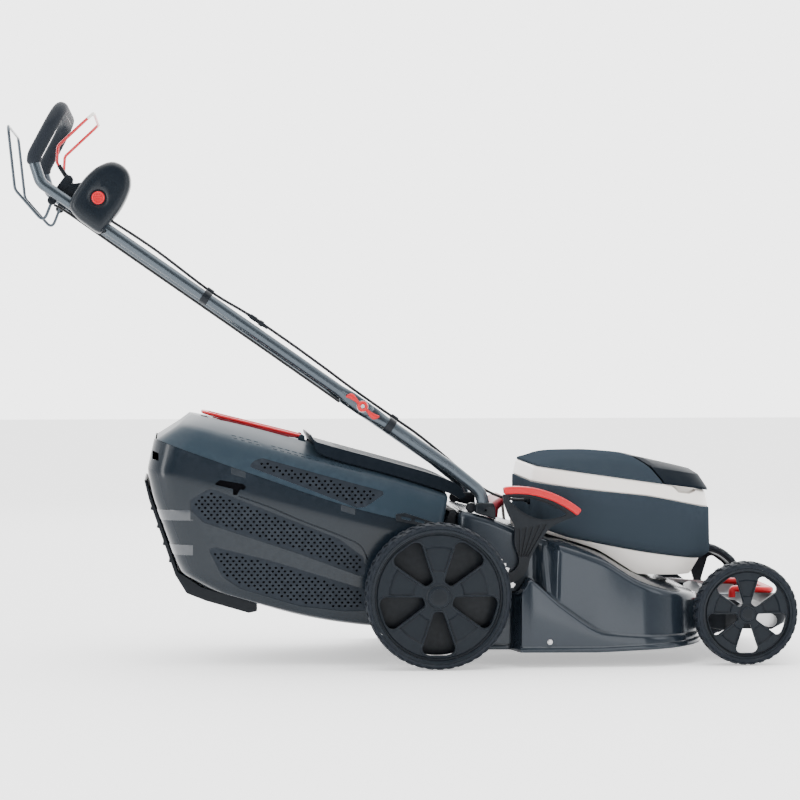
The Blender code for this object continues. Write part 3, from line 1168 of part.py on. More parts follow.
HANDLE_PIN = (-0.2500, 0.4370)
box_handle_axis = pivot("box_handle_axis", (HANDLE_PIN[0], 0.0, HANDLE_PIN[1]), box_body)
HANDLE_REACH = (-0.4400, 0.4845)
STRAP_Y = 0.048
STRAP_HALF = (0.0035, 0.0075)
LUG_PIN_R = 0.0017
path = rounded([(HANDLE_PIN[0], -STRAP_Y, HANDLE_PIN[1]), (HANDLE_REACH[0], -STRAP_Y, HANDLE_REACH[1]),
                (HANDLE_REACH[0], STRAP_Y, HANDLE_REACH[1]), (HANDLE_PIN[0], STRAP_Y, HANDLE_PIN[1])],
               [0.020, 0.020], 3)
strap = add("box_handle", swept(path, [(*STRAP_HALF, 0.0)] * len(path), 8), "red_plastic", box_handle_axis)
eye = turned([(STRAP_HALF[0], -STRAP_Y - STRAP_HALF[1]), (STRAP_HALF[0], -STRAP_Y + STRAP_HALF[1])], 12, "Y",
             (HANDLE_PIN[0], 0.0, HANDLE_PIN[1]))
weld(strap, eye, box_handle_axis)
eye = turned([(STRAP_HALF[0], STRAP_Y - STRAP_HALF[1]), (STRAP_HALF[0], STRAP_Y + STRAP_HALF[1])], 12, "Y",
             (HANDLE_PIN[0], 0.0, HANDLE_PIN[1]))
weld(strap, eye, box_handle_axis)
drill(strap, box_handle_axis, HANDLE_PIN, LUG_PIN_R, -0.1, 0.1, 8)
lug_y = STRAP_Y + STRAP_HALF[1] + GAP
lug_outline = [(-0.2600, 0.4262), (-0.2430, 0.4217), (-0.2450, 0.4390), (-0.2500, 0.4420), (-0.2550, 0.4400)]
for hand in SIDES:
    weld(box_upper, side_plate(lug_outline, hand * lug_y, hand * (lug_y + 0.004)), box_body)
    weld(box_upper, turned([(LUG_PIN_R, hand * (lug_y - 0.006)), (LUG_PIN_R, hand * (lug_y + 0.002))], 8, "Y",
                           (HANDLE_PIN[0], 0.0, HANDLE_PIN[1])), box_body)

# Rear flap that closes the chute when the box is off
REAR_HINGE = (0.0580, 0.3220)
rear_flap_axis = pivot("rear_flap_axis", (REAR_HINGE[0], 0.0, REAR_HINGE[1]), mower)
flap_top = [(0.0640, 0.3230), (0.0600, 0.3300), (0.0500, 0.3450), (0.0080, 0.3640), (-0.0700, 0.3870),
            (-0.2050, 0.4240), (-0.2290, 0.4330), (-0.2360, 0.4440)]
flap_low = [(-0.2380, 0.4430), (-0.2330, 0.4310), (-0.2100, 0.4030), (-0.0700, 0.3625), (0.0300, 0.3300),
            (0.0520, 0.3180)]
FLAP_Y = 0.1490
rear_flap = add("rear_flap", side_plate(flap_top + flap_low, -FLAP_Y, FLAP_Y), "black_plastic", rear_flap_axis)
hollow_top = [(0.0440, 0.3440), (0.0060, 0.3610), (-0.0700, 0.3840), (-0.2050, 0.4210), (-0.2300, 0.4295)]
hollow_low = [(-0.2500, 0.3900), (-0.0700, 0.3000), (0.0440, 0.3000)]
cut(rear_flap, side_plate(hollow_top + hollow_low, -FLAP_Y + 0.003, FLAP_Y - 0.003), rear_flap_axis)

# Lower cable, from the fold down to the gland in the hood's rear
LOWER_CABLE_Y = -0.1525
lower_run = [shifted(FOLD - RISE * 0.045 + NORMAL * cable_lift, LOWER_CABLE_Y),
             shifted(FOLD - RISE * 0.110 + NORMAL * cable_lift, LOWER_CABLE_Y),
             Vector((0.046, LOWER_CABLE_Y, 0.4000)), Vector((0.100, LOWER_CABLE_Y, 0.3550)),
             Vector((0.1440, -0.1300, 0.3420)),
             Vector((0.1540, -0.1260, 0.3420))]
add("power_cable_lower", wire(rounded(lower_run, [0.2, 0.06, 0.03, 0.01], 3), CABLE_R, CABLE_SIDES),
    "cable_rubber", mower, smooth=80)
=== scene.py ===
import math

import bmesh
import bpy
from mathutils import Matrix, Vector
from mathutils.bvhtree import BVHTree
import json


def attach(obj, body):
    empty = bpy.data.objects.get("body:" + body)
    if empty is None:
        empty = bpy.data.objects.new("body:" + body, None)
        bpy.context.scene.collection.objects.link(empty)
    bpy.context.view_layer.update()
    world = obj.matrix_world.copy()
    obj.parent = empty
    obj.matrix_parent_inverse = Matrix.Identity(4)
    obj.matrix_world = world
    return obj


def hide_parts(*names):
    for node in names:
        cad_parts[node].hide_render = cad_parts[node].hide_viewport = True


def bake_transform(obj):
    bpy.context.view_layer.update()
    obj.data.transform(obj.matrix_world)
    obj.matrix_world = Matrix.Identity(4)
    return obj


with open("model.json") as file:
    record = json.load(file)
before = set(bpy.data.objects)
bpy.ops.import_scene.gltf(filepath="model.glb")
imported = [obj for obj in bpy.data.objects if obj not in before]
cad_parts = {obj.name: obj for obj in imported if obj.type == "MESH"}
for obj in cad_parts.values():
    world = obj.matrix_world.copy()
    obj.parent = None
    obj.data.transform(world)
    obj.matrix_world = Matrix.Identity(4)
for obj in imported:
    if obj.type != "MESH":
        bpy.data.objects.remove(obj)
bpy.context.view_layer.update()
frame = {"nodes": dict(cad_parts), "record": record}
nodes = frame["nodes"]

# X of the rear axle: the part's source counts X from there, and so does this script
ORIGIN_X = 0.0575
SHIFT = Vector((ORIGIN_X, 0.0, 0.0))
RIGHT, LEFT = -1, 1
SIDES = (("right", RIGHT), ("left", LEFT))
UP = (0.0, 0.0, 1.0)
WHITE = (1.0, 1.0, 1.0, 1.0)


# Helpers for objects and shader nodes
def placed(name, data):
    made = bpy.data.objects.new(name, data)
    bpy.context.scene.collection.objects.link(made)
    return made


def turn_to(thing, heading, front):
    thing.rotation_mode = "QUATERNION"
    thing.rotation_quaternion = heading.to_track_quat(front, "Y")


def set_inputs(shader, values):
    for label, value in values.items():
        shader.inputs[label].default_value = value


def node(tree, kind, values=None, **settings):
    made = tree.nodes.new("ShaderNode" + kind)
    for name, value in settings.items():
        setattr(made, name, value)
    set_inputs(made, values or {})
    return made


def join(tree, *links):
    """Links nodes, each link given as a node and its output, then a node and its input."""
    for giver, out, taker, into in links:
        tree.links.new(giver.outputs[out], taker.inputs[into])


def new_material(name):
    made = bpy.data.materials.new(name)
    made.use_nodes = True
    return made, made.node_tree, made.node_tree.nodes["Principled BSDF"]


# Camera at the photograph's viewing angle
AZIMUTH, ELEVATION = math.radians(-5.0), math.radians(1.5)
camera_data = bpy.data.cameras.new("camera")
camera_data.lens = 113.94
camera_data.sensor_width = 36.0
camera = placed("camera", camera_data)
camera.location = (-0.4916 + ORIGIN_X, -5.0339, 0.6394)
backwards = Vector((math.sin(AZIMUTH) * math.cos(ELEVATION), -math.cos(AZIMUTH) * math.cos(ELEVATION),
                    math.sin(ELEVATION)))
turn_to(camera, -backwards, "-Z")
bpy.context.scene.camera = camera


# Studio
def studio_light(name, place, aim, size, power, tall=None):
    data = bpy.data.lights.new(name, "AREA")
    data.shape = "RECTANGLE"
    data.size = size
    data.size_y = tall or size
    data.energy = power
    lamp = placed(name, data)
    lamp.location = place
    turn_to(lamp, Vector(place) - Vector(aim), "Z")


studio_light("light_above", (0.0, -0.6, 3.2), (0.0, 0.0, 0.3), 3.2, 50, 2.4)
studio_light("light_front_left", (-2.6, -3.6, 2.0), (0.0, 0.0, 0.4), 2.0, 32)
studio_light("light_front_right", (2.8, -3.0, 1.6), (0.2, 0.0, 0.3), 1.6, 28)
studio_light("strip_rear", (-2.6, -1.9, 0.6), (-0.5, -0.15, 0.3), 0.7, 34, 1.8)
studio_light("strip_right", (1.0, -3.3, 0.4), (0.37, -0.24, 0.2), 0.36, 14, 2.2)
studio_light("light_behind", (0.4, 3.4, 2.2), (0.0, 0.0, 0.4), 2.6, 40)

# White surround, brighter behind the mower than on the camera's side
world = bpy.data.worlds.new("studio")
world.use_nodes = True
sky = world.node_tree
direction = node(sky, "TexCoord")
parts = node(sky, "SeparateXYZ")
level = node(sky, "MapRange", {"From Min": -1.0, "From Max": 0.55, "To Min": 0.1, "To Max": 4.0})
background = sky.nodes["Background"]
background.inputs["Color"].default_value = WHITE
join(sky, (direction, "Generated", parts, "Vector"), (parts, "Y", level, "Value"),
     (level, "Result", background, "Strength"))
bpy.context.scene.world = world

# Node groups that several finishes share
COLOR, FLOAT = "NodeSocketColor", "NodeSocketFloat"
PLAIN_GREY = (0.1, 0.1, 0.1, 1.0)
# Sockets of a mix node that mixes colours
MIX_SHARE, MIX_FIRST, MIX_SECOND, MIX_RESULT = 0, 6, 7, 2


def new_group(name, inputs, outputs):
    group = bpy.data.node_groups.new(name, "ShaderNodeTree")
    for label, kind, value in inputs:
        group.interface.new_socket(label, in_out="INPUT", socket_type=kind).default_value = value
    for label, kind in outputs:
        group.interface.new_socket(label, in_out="OUTPUT", socket_type=kind)
    return group, group.nodes.new("NodeGroupInput"), group.nodes.new("NodeGroupOutput")


def noise(tree, scale, detail):
    """Noise over the piece's own shape. Its scale is a number, or a node and its output."""
    made = node(tree, "TexNoise", {"Detail": detail})
    join(tree, (node(tree, "TexCoord"), "Object", made, "Vector"))
    if isinstance(scale, float):
        made.inputs["Scale"].default_value = scale
    else:
        join(tree, (*scale, made, "Scale"))
    return made


def product(tree, first, second):
    made = node(tree, "Math", operation="MULTIPLY")
    join(tree, (*first, made, 0), (*second, made, 1))
    return made


def laid_over(group, start, end, masks, color):
    """Lays a second colour over the first where both masks are strong, as far as the amount says."""
    both = product(group, *masks)
    share = product(group, (both, 0), (start, "Amount"))
    mix = node(group, "Mix", data_type="RGBA")
    join(group, (share, 0, mix, MIX_SHARE), (start, "Color", mix, MIX_FIRST), (start, color, mix, MIX_SECOND),
         (mix, MIX_RESULT, end, "Color"))
    return share


def make_dust_group():
    """Fine dust that settles on what faces up, and lighter, duller colour there."""
    group, start, end = new_group("settled_dust", [("Color", COLOR, PLAIN_GREY),
                                                   ("Dust Color", COLOR, (0.3, 0.29, 0.27, 1.0)),
                                                   ("Amount", FLOAT, 0.1), ("Roughness", FLOAT, 0.4)],
                                  [("Color", COLOR), ("Roughness", FLOAT)])
    split = node(group, "SeparateXYZ")
    upward = node(group, "MapRange", {"From Min": 0.2, "From Max": 1.0})
    patch = node(group, "MapRange", {"From Min": 0.4, "From Max": 0.68})
    join(group, (node(group, "NewGeometry"), "Normal", split, "Vector"), (split, "Z", upward, "Value"),
         (noise(group, 34.0, 5.0), "Fac", patch, "Value"))
    share = laid_over(group, start, end, ((upward, "Result"), (patch, "Result")), "Dust Color")
    rough = node(group, "Math", operation="ADD")
    join(group, (share, 0, rough, 0), (start, "Roughness", rough, 1), (rough, 0, end, "Roughness"))
    return group


def make_tone_group():
    """Slow change of tone and of gloss over a surface, as in moulded plastic and sprayed paint."""
    group, start, end = new_group("surface_tone", [("Color", COLOR, PLAIN_GREY), ("Depth", FLOAT, 0.08),
                                                   ("Scale", FLOAT, 9.0), ("Roughness", FLOAT, 0.4),
                                                   ("Gloss Change", FLOAT, 0.08)],
                                  [("Color", COLOR), ("Roughness", FLOAT)])
    centred = node(group, "Math", {1: 0.5}, operation="SUBTRACT")
    lift = node(group, "Math", {2: 1.0}, operation="MULTIPLY_ADD")
    tint = node(group, "VectorMath", operation="SCALE")
    gloss = node(group, "Math", operation="MULTIPLY_ADD")
    join(group, (noise(group, (start, "Scale"), 4.0), "Fac", centred, 0), (centred, 0, lift, 0),
         (start, "Depth", lift, 1), (start, "Color", tint, 0), (lift, 0, tint, "Scale"), (centred, 0, gloss, 0),
         (start, "Gloss Change", gloss, 1), (start, "Roughness", gloss, 2), (tint, 0, end, "Color"),
         (gloss, 0, end, "Roughness"))
    return group


def make_grain_group():
    """Fine moulded or sprayed grain as a height."""
    group, start, end = new_group("fine_grain", [("Scale", FLOAT, 600.0), ("Coarse Share", FLOAT, 0.3)],
                                  [("Height", FLOAT)])
    slower = node(group, "Math", {1: 0.12}, operation="MULTIPLY")
    mix = node(group, "Mix")
    join(group, (start, "Scale", slower, 0), (start, "Coarse Share", mix, 0),
         (noise(group, (start, "Scale"), 2.0), "Fac", mix, 2), (noise(group, (slower, 0), 2.0), "Fac", mix, 3),
         (mix, 0, end, "Height"))
    return group


def make_wear_group():
    """Rubbed edges: lighter where the surface bends sharply outwards."""
    group, start, end = new_group("rubbed_edges", [("Color", COLOR, PLAIN_GREY),
                                                   ("Edge Color", COLOR, (0.3, 0.3, 0.3, 1.0)),
                                                   ("Amount", FLOAT, 0.3)], [("Color", COLOR)])
    sharp = node(group, "MapRange", {"From Min": 0.52, "From Max": 0.62})
    broken = node(group, "MapRange", {"From Min": 0.35, "From Max": 0.65})
    join(group, (node(group, "NewGeometry"), "Pointiness", sharp, "Value"),
         (noise(group, 90.0, 4.0), "Fac", broken, "Value"))
    laid_over(group, start, end, ((sharp, "Result"), (broken, "Result")), "Edge Color")
    return group


DUST = make_dust_group()
TONE = make_tone_group()
GRAIN = make_grain_group()
WEAR = make_wear_group()
GLOSS_CHANGE, COAT_ROUGHNESS, MILLIMETRE = 0.08, 0.08, 0.001


def finish(name, color, roughness, metallic=0.0, coat=0.0, grain=400.0, bump=0.03, tone=0.12, dust=0.06, wear=0.25,
           flecks=None, shine=0.4):
    """A finish with tone, rubbed edges and dust over its base colour, and a fine grain in its surface."""
    made, tree, shader = new_material(name)
    set_inputs(shader, {"Metallic": metallic, "Specular IOR Level": shine, "Coat Weight": coat,
                        "Coat Roughness": COAT_ROUGHNESS})
    rubbed = [min(1.0, c * 2.2 + 0.02) for c in color]
    tones = node(tree, "Group", {"Color": (*color, 1.0), "Depth": tone, "Roughness": roughness,
                                 "Gloss Change": GLOSS_CHANGE}, node_tree=TONE)
    edges = node(tree, "Group", {"Edge Color": (*rubbed, 1.0), "Amount": wear}, node_tree=WEAR)
    dusty = node(tree, "Group", {"Amount": dust}, node_tree=DUST)
    join(tree, (tones, "Color", edges, "Color"), (edges, "Color", dusty, "Color"),
         (tones, "Roughness", dusty, "Roughness"))
    color_out = (dusty, "Color")
    if flecks:
        fleck_color, density, strength = flecks
        spots = node(tree, "TexVoronoi", {"Scale": density})
        bright = node(tree, "MapRange", {"From Min": 0.16, "From Max": 0.05, "To Max": strength})
        mix = node(tree, "Mix", {MIX_SECOND: (*fleck_color, 1.0)}, data_type="RGBA")
        join(tree, (node(tree, "TexCoord"), "Object", spots, "Vector"), (spots, "Distance", bright, "Value"),
             (bright, "Result", mix, MIX_SHARE), (*color_out, mix, MIX_FIRST))
        color_out = (mix, MIX_RESULT)
    grained = node(tree, "Group", {"Scale": grain}, node_tree=GRAIN)
    relief = node(tree, "Bump", {"Strength": 1.0, "Distance": bump * MILLIMETRE})
    join(tree, (*color_out, shader, "Base Color"), (dusty, "Roughness", shader, "Roughness"),
         (grained, "Height", relief, "Height"), (relief, "Normal", shader, "Normal"))
    return made


deck_paint = finish("deck_paint", (0.013, 0.019, 0.027), 0.2, metallic=0.25, coat=0.15, grain=500.0, bump=0.02,
                    shine=0.3, flecks=((0.2, 0.23, 0.26), 1500.0, 0.25))
tube_paint = finish("tube_paint", (0.05, 0.064, 0.078), 0.28, metallic=0.75, coat=0.3, grain=900.0, bump=0.02,
                    flecks=((0.3, 0.33, 0.36), 1800.0, 0.35))
box_gloss = finish("box_gloss", (0.005, 0.009, 0.014), 0.18, grain=260.0, bump=0.02, dust=0.02, shine=0.28)
band_grey = finish("band_grey", (0.04, 0.045, 0.052), 0.24, coat=0.3, grain=260.0, bump=0.02, dust=0.03)
box_cover = finish("box_cover", (0.018, 0.03, 0.042), 0.36, grain=260.0, bump=0.02, dust=0.03, shine=0.12)
vent_plastic = finish("vent_plastic", (0.012, 0.016, 0.022), 0.48, grain=500.0, bump=0.05, dust=0.02, shine=0.12)
# Dead black for sheets set behind holes and cuts: painted shade in their depth
black_painted_shade = finish("black_painted_shade", (0.002, 0.002, 0.003), 0.9, grain=900.0, bump=0.1, dust=0.0, wear=0.0, shine=0.05)
hood_slate = finish("hood_slate", (0.026, 0.035, 0.045), 0.45, grain=420.0, bump=0.02, dust=0.01, shine=0.0)
shroud_grey = finish("shroud_grey", (0.03, 0.034, 0.04), 0.34, grain=420.0, bump=0.03, shine=0.25)
flap_black = finish("flap_black", (0.006, 0.009, 0.013), 0.4, grain=420.0, bump=0.01, dust=0.012, shine=0.02)
cream = finish("cream", (0.84, 0.8, 0.755), 0.38, coat=0.1, grain=420.0, bump=0.02, tone=0.04, wear=0.1)
# Darker copy of the cream: painted shade for the finger recesses and the struts under the rear grip
cream_painted_shade = finish("cream_painted_shade", (0.5, 0.47, 0.44), 0.45, grain=420.0, bump=0.02, tone=0.04, wear=0.0)
wheel_plastic = finish("wheel_plastic", (0.007, 0.01, 0.014), 0.36, grain=700.0, bump=0.06, shine=0.14)
tyre = finish("tyre", (0.009, 0.012, 0.017), 0.58, grain=500.0, bump=0.12, dust=0.1, shine=0.12)
black_plastic = finish("black_plastic", (0.005, 0.007, 0.01), 0.36, grain=700.0, bump=0.06, shine=0.16)
switch_plastic = finish("switch_plastic", (0.005, 0.008, 0.012), 0.28, grain=900.0, bump=0.08, shine=0.24)
foam = finish("foam", (0.009, 0.012, 0.017), 0.62, grain=520.0, bump=0.35, dust=0.06, shine=0.14)
red = finish("red", (0.46, 0.01, 0.016), 0.36, grain=500.0, bump=0.02, tone=0.08, dust=0.02, shine=0.25)
# Darker copy of the red: painted shade for the rear grip and the strap's skirt, which lie in shadow
red_painted_shade = finish("red_painted_shade", (0.2, 0.009, 0.018), 0.38, grain=500.0, bump=0.03)
bail_red = finish("bail_red", (0.54, 0.018, 0.028), 0.26, metallic=0.2, coat=0.3, grain=900.0, bump=0.01)
steel = finish("steel", (0.55, 0.55, 0.56), 0.3, metallic=1.0, grain=300.0, bump=0.03, tone=0.2)
silver_trim = finish("silver_trim", (0.46, 0.49, 0.52), 0.3, metallic=0.6, coat=0.2, grain=500.0, bump=0.02)
cable = finish("cable", (0.005, 0.006, 0.008), 0.42, grain=900.0, bump=0.05, shine=0.3)

FINISH_OF = {
    "deck_paint": deck_paint, "black_plastic": black_plastic, "dark_plastic": box_gloss, "slate_plastic": hood_slate,
    "cream_plastic": cream, "grey_plastic": silver_trim, "red_plastic": red, "tube_paint": tube_paint, "foam": foam,
    "tyre_rubber": tyre, "steel": steel, "cable_rubber": cable,
}
slot_of = {row["node"]: row["material_slot"] for row in frame["record"]["subparts"]}
for name, cad in nodes.items():
    cad.data.materials.clear()
    cad.data.materials.append(FINISH_OF[slot_of[name]])


# Shapes: outlines lie in X and Z, counted from the rear axle, and rings go round one piece
def arc(middle, radius, start, stop, steps):
    points = []
    for i in range(steps + 1):
        turn = math.radians(start + (stop - start) * i / steps)
        points.append((middle[0] + radius * math.cos(turn), middle[1] + radius * math.sin(turn)))
    return points


def turns(steps, shift=0.0):
    """Equal steps of one full turn."""
    return [2.0 * math.pi * (k + shift) / steps for k in range(steps)]


def skin(rings, caps=True, closed=False, mesh=None):
    """Joins rings of equally many points into one surface, and closes its two ends."""
    mesh = mesh or bmesh.new()
    rows = [[mesh.verts.new(p) for p in ring] for ring in rings]
    pairs = list(zip(rows, rows[1:]))
    if closed:
        pairs.append((rows[-1], rows[0]))
    for low, high in pairs:
        for i in range(len(low)):
            j = (i + 1) % len(low)
            mesh.faces.new((low[i], low[j], high[j], high[i]))
    if caps and not closed:
        mesh.faces.new(rows[0][::-1])
        mesh.faces.new(rows[-1])
    return mesh


def about(axis, centre, radius, height, turn):
    """Point at a radius, height and turn round an axis: Y through a wheel, Z through the blade."""
    across, up = radius * math.cos(turn), radius * math.sin(turn)
    if axis == "Y":
        return (centre[0] + across, centre[1] + height, centre[2] + up)
    if axis == "X":
        return (centre[0] + height, centre[1] + across, centre[2] + up)
    return (centre[0] + across, centre[1] + up, centre[2] + height)


def turned(profile, axis, centre, steps=48, closed=False, mesh=None):
    rings = [[about(axis, centre, r, h, turn) for r, h in profile] for turn in turns(steps)]
    mesh = mesh or bmesh.new()
    rows = [[mesh.verts.new(p) for p in ring] for ring in rings]
    count = len(profile)
    for i in range(steps):
        near, far = rows[i], rows[(i + 1) % steps]
        for k in range(count if closed else count - 1):
            m = (k + 1) % count
            mesh.faces.new((near[k], far[k], far[m], near[m]))
    if not closed:
        for k in (0, count - 1):
            mesh.faces.new([row[k] for row in rows])
    return mesh


def mm(*points):
    """Points given in millimetres."""
    return [tuple(value / 1000 for value in point) for point in points]


def facing(side, profile):
    """A turned profile with its heights towards one side."""
    return [(radius, side * height) for radius, height in profile]


def plate(outline, y0, y1, mesh=None):
    return skin([[(x, y0, z) for x, z in outline], [(x, y1, z) for x, z in outline]], mesh=mesh)


def rectangle(x0, x1, z0, z1):
    return [(x0, z0), (x1, z0), (x1, z1), (x0, z1)]


def smooth_line(points, steps=8, closed=False):
    """Smooth curve through points, as tuples of any length."""
    count = len(points)
    spans = count if closed else count - 1
    result = []
    for i in range(spans):
        if closed:
            a, b, c, d = (points[(i + k - 1) % count] for k in range(4))
        else:
            a, b = points[max(i - 1, 0)], points[i]
            c, d = points[i + 1], points[min(i + 2, count - 1)]
        for k in range(steps):
            t = k / steps
            result.append(tuple(
                0.5 * (2 * q + (r - p) * t + (2 * p - 5 * q + 4 * r - s) * t * t + (3 * q - p - 3 * r + s) * t ** 3)
                for p, q, r, s in zip(a, b, c, d)))
    if not closed:
        result.append(tuple(points[-1]))
    return result


def rounded(points, radii, steps=6):
    """Path through points with each inner corner rounded to its radius."""
    points = [Vector(p) for p in points]
    path = [points[0]]
    for before, corner, after, radius in zip(points, points[1:], points[2:], radii):
        inward, outward = (before - corner).normalized(), (after - corner).normalized()
        half = inward.angle(outward) / 2.0
        back = min(radius / math.tan(half), (before - corner).length * 0.49, (after - corner).length * 0.49)
        start, stop = corner + inward * back, corner + outward * back
        for i in range(steps + 1):
            t = i / steps
            path.append(start.lerp(corner, t).lerp(corner.lerp(stop, t), t))
    path.append(points[-1])
    return path


def read_line(line, x):
    for (x0, z0), (x1, z1) in zip(line, line[1:]):
        if x <= x1 or (x1, z1) == line[-1]:
            return z0 + (z1 - z0) * (x - x0) / (x1 - x0)


def smooth_shade(data, angle):
    data.polygons.foreach_set("use_smooth", [True] * len(data.polygons))
    data.set_sharp_from_angle(angle=math.radians(angle))


def new_piece(name, mesh, material, body, stands_for=(), smooth=35.0):
    """Makes a piece from a mesh counted from the rear axle. It rides on its body, if one is given."""
    bmesh.ops.translate(mesh, verts=mesh.verts, vec=SHIFT)
    bmesh.ops.remove_doubles(mesh, verts=mesh.verts, dist=0.000005)
    bmesh.ops.recalc_face_normals(mesh, faces=mesh.faces)
    data = bpy.data.meshes.new(name)
    mesh.to_mesh(data)
    mesh.free()
    data.materials.append(material)
    smooth_shade(data, smooth)
    made = placed(name, data)
    if body:
        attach(made, body)
    if stands_for:
        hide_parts(*stands_for)
    return made


def edge_round(piece, width, segments=3, angle=35.0):
    bevel = piece.modifiers.new("round_edges", "BEVEL")
    bevel.width = width
    bevel.segments = segments
    bevel.limit_method = "ANGLE"
    bevel.angle_limit = math.radians(angle)
    bevel.harden_normals = True
    return piece


def wall(piece, thickness):
    solid = piece.modifiers.new("wall", "SOLIDIFY")
    solid.thickness = thickness
    solid.offset = -1.0
    solid.use_even_offset = True
    return piece


def carve(made, tool, smooth=35.0):
    """Cuts a mesh, counted from the rear axle, out of a piece, and keeps the result as its mesh."""
    bmesh.ops.translate(tool, verts=tool.verts, vec=SHIFT)
    bmesh.ops.recalc_face_normals(tool, faces=tool.faces)
    data = bpy.data.meshes.new("cutter")
    tool.to_mesh(data)
    tool.free()
    cutter = placed("cutter", data)
    cut = made.modifiers.new("cut", "BOOLEAN")
    cut.object = cutter
    cut.operation = "DIFFERENCE"
    cut.solver = "EXACT"
    bpy.context.view_layer.update()
    shaped = bpy.data.meshes.new_from_object(made.evaluated_get(bpy.context.evaluated_depsgraph_get()))
    made.modifiers.clear()
    before = made.data
    made.data = shaped
    bpy.data.meshes.remove(before)
    bpy.data.objects.remove(cutter)
    bpy.data.meshes.remove(data)
    shaped.name = made.name
    smooth_shade(shaped, smooth)
    return made


# Wheels
def window_outline(middle, turn, inner, outer, spread_in, spread_out, shrink=0.0):
    """Rounded window of a hub, narrow at the axle and wide at the rim, round its middle line at a turn."""
    corners = []
    for radius, spread in ((inner + shrink, spread_in), (outer - shrink, spread_out)):
        for hand in (-1, 1) if radius < (inner + outer) / 2 else (1, -1):
            corners.append(Vector((radius, hand * (spread - shrink), 0.0)))
    start = corners[0].lerp(corners[3], 0.5)
    path = rounded([start] + corners + [start], [spread_in * 0.95] * 2 + [spread_out * 0.42] * 2, 7)[:-1]
    points = []
    for p in path:
        bulge = 0.0
        if p.x > outer - spread_out * 0.5:
            bulge = (outer - shrink) * (math.sqrt(max(0.0, 1 - (p.y / (outer - shrink)) ** 2)) - 1) * 0.9
        r, s = p.x + bulge, p.y
        points.append((middle[0] + r * math.cos(turn) - s * math.sin(turn),
                       middle[1] + r * math.sin(turn) + s * math.cos(turn)))
    return points


REAR_RIM, LUGS = 0.13, {"rear": 44, "front": 34}
# Lip round a wheel's window: how far it lies outside the window, and its depth
WINDOW_LIP = ((-0.0002, 0.0135), (-0.0002, 0.0066), (-0.001, 0.0056), (-0.0026, 0.0056), (-0.0036, 0.0066),
              (-0.0044, 0.0105), (-0.0012, 0.0125))


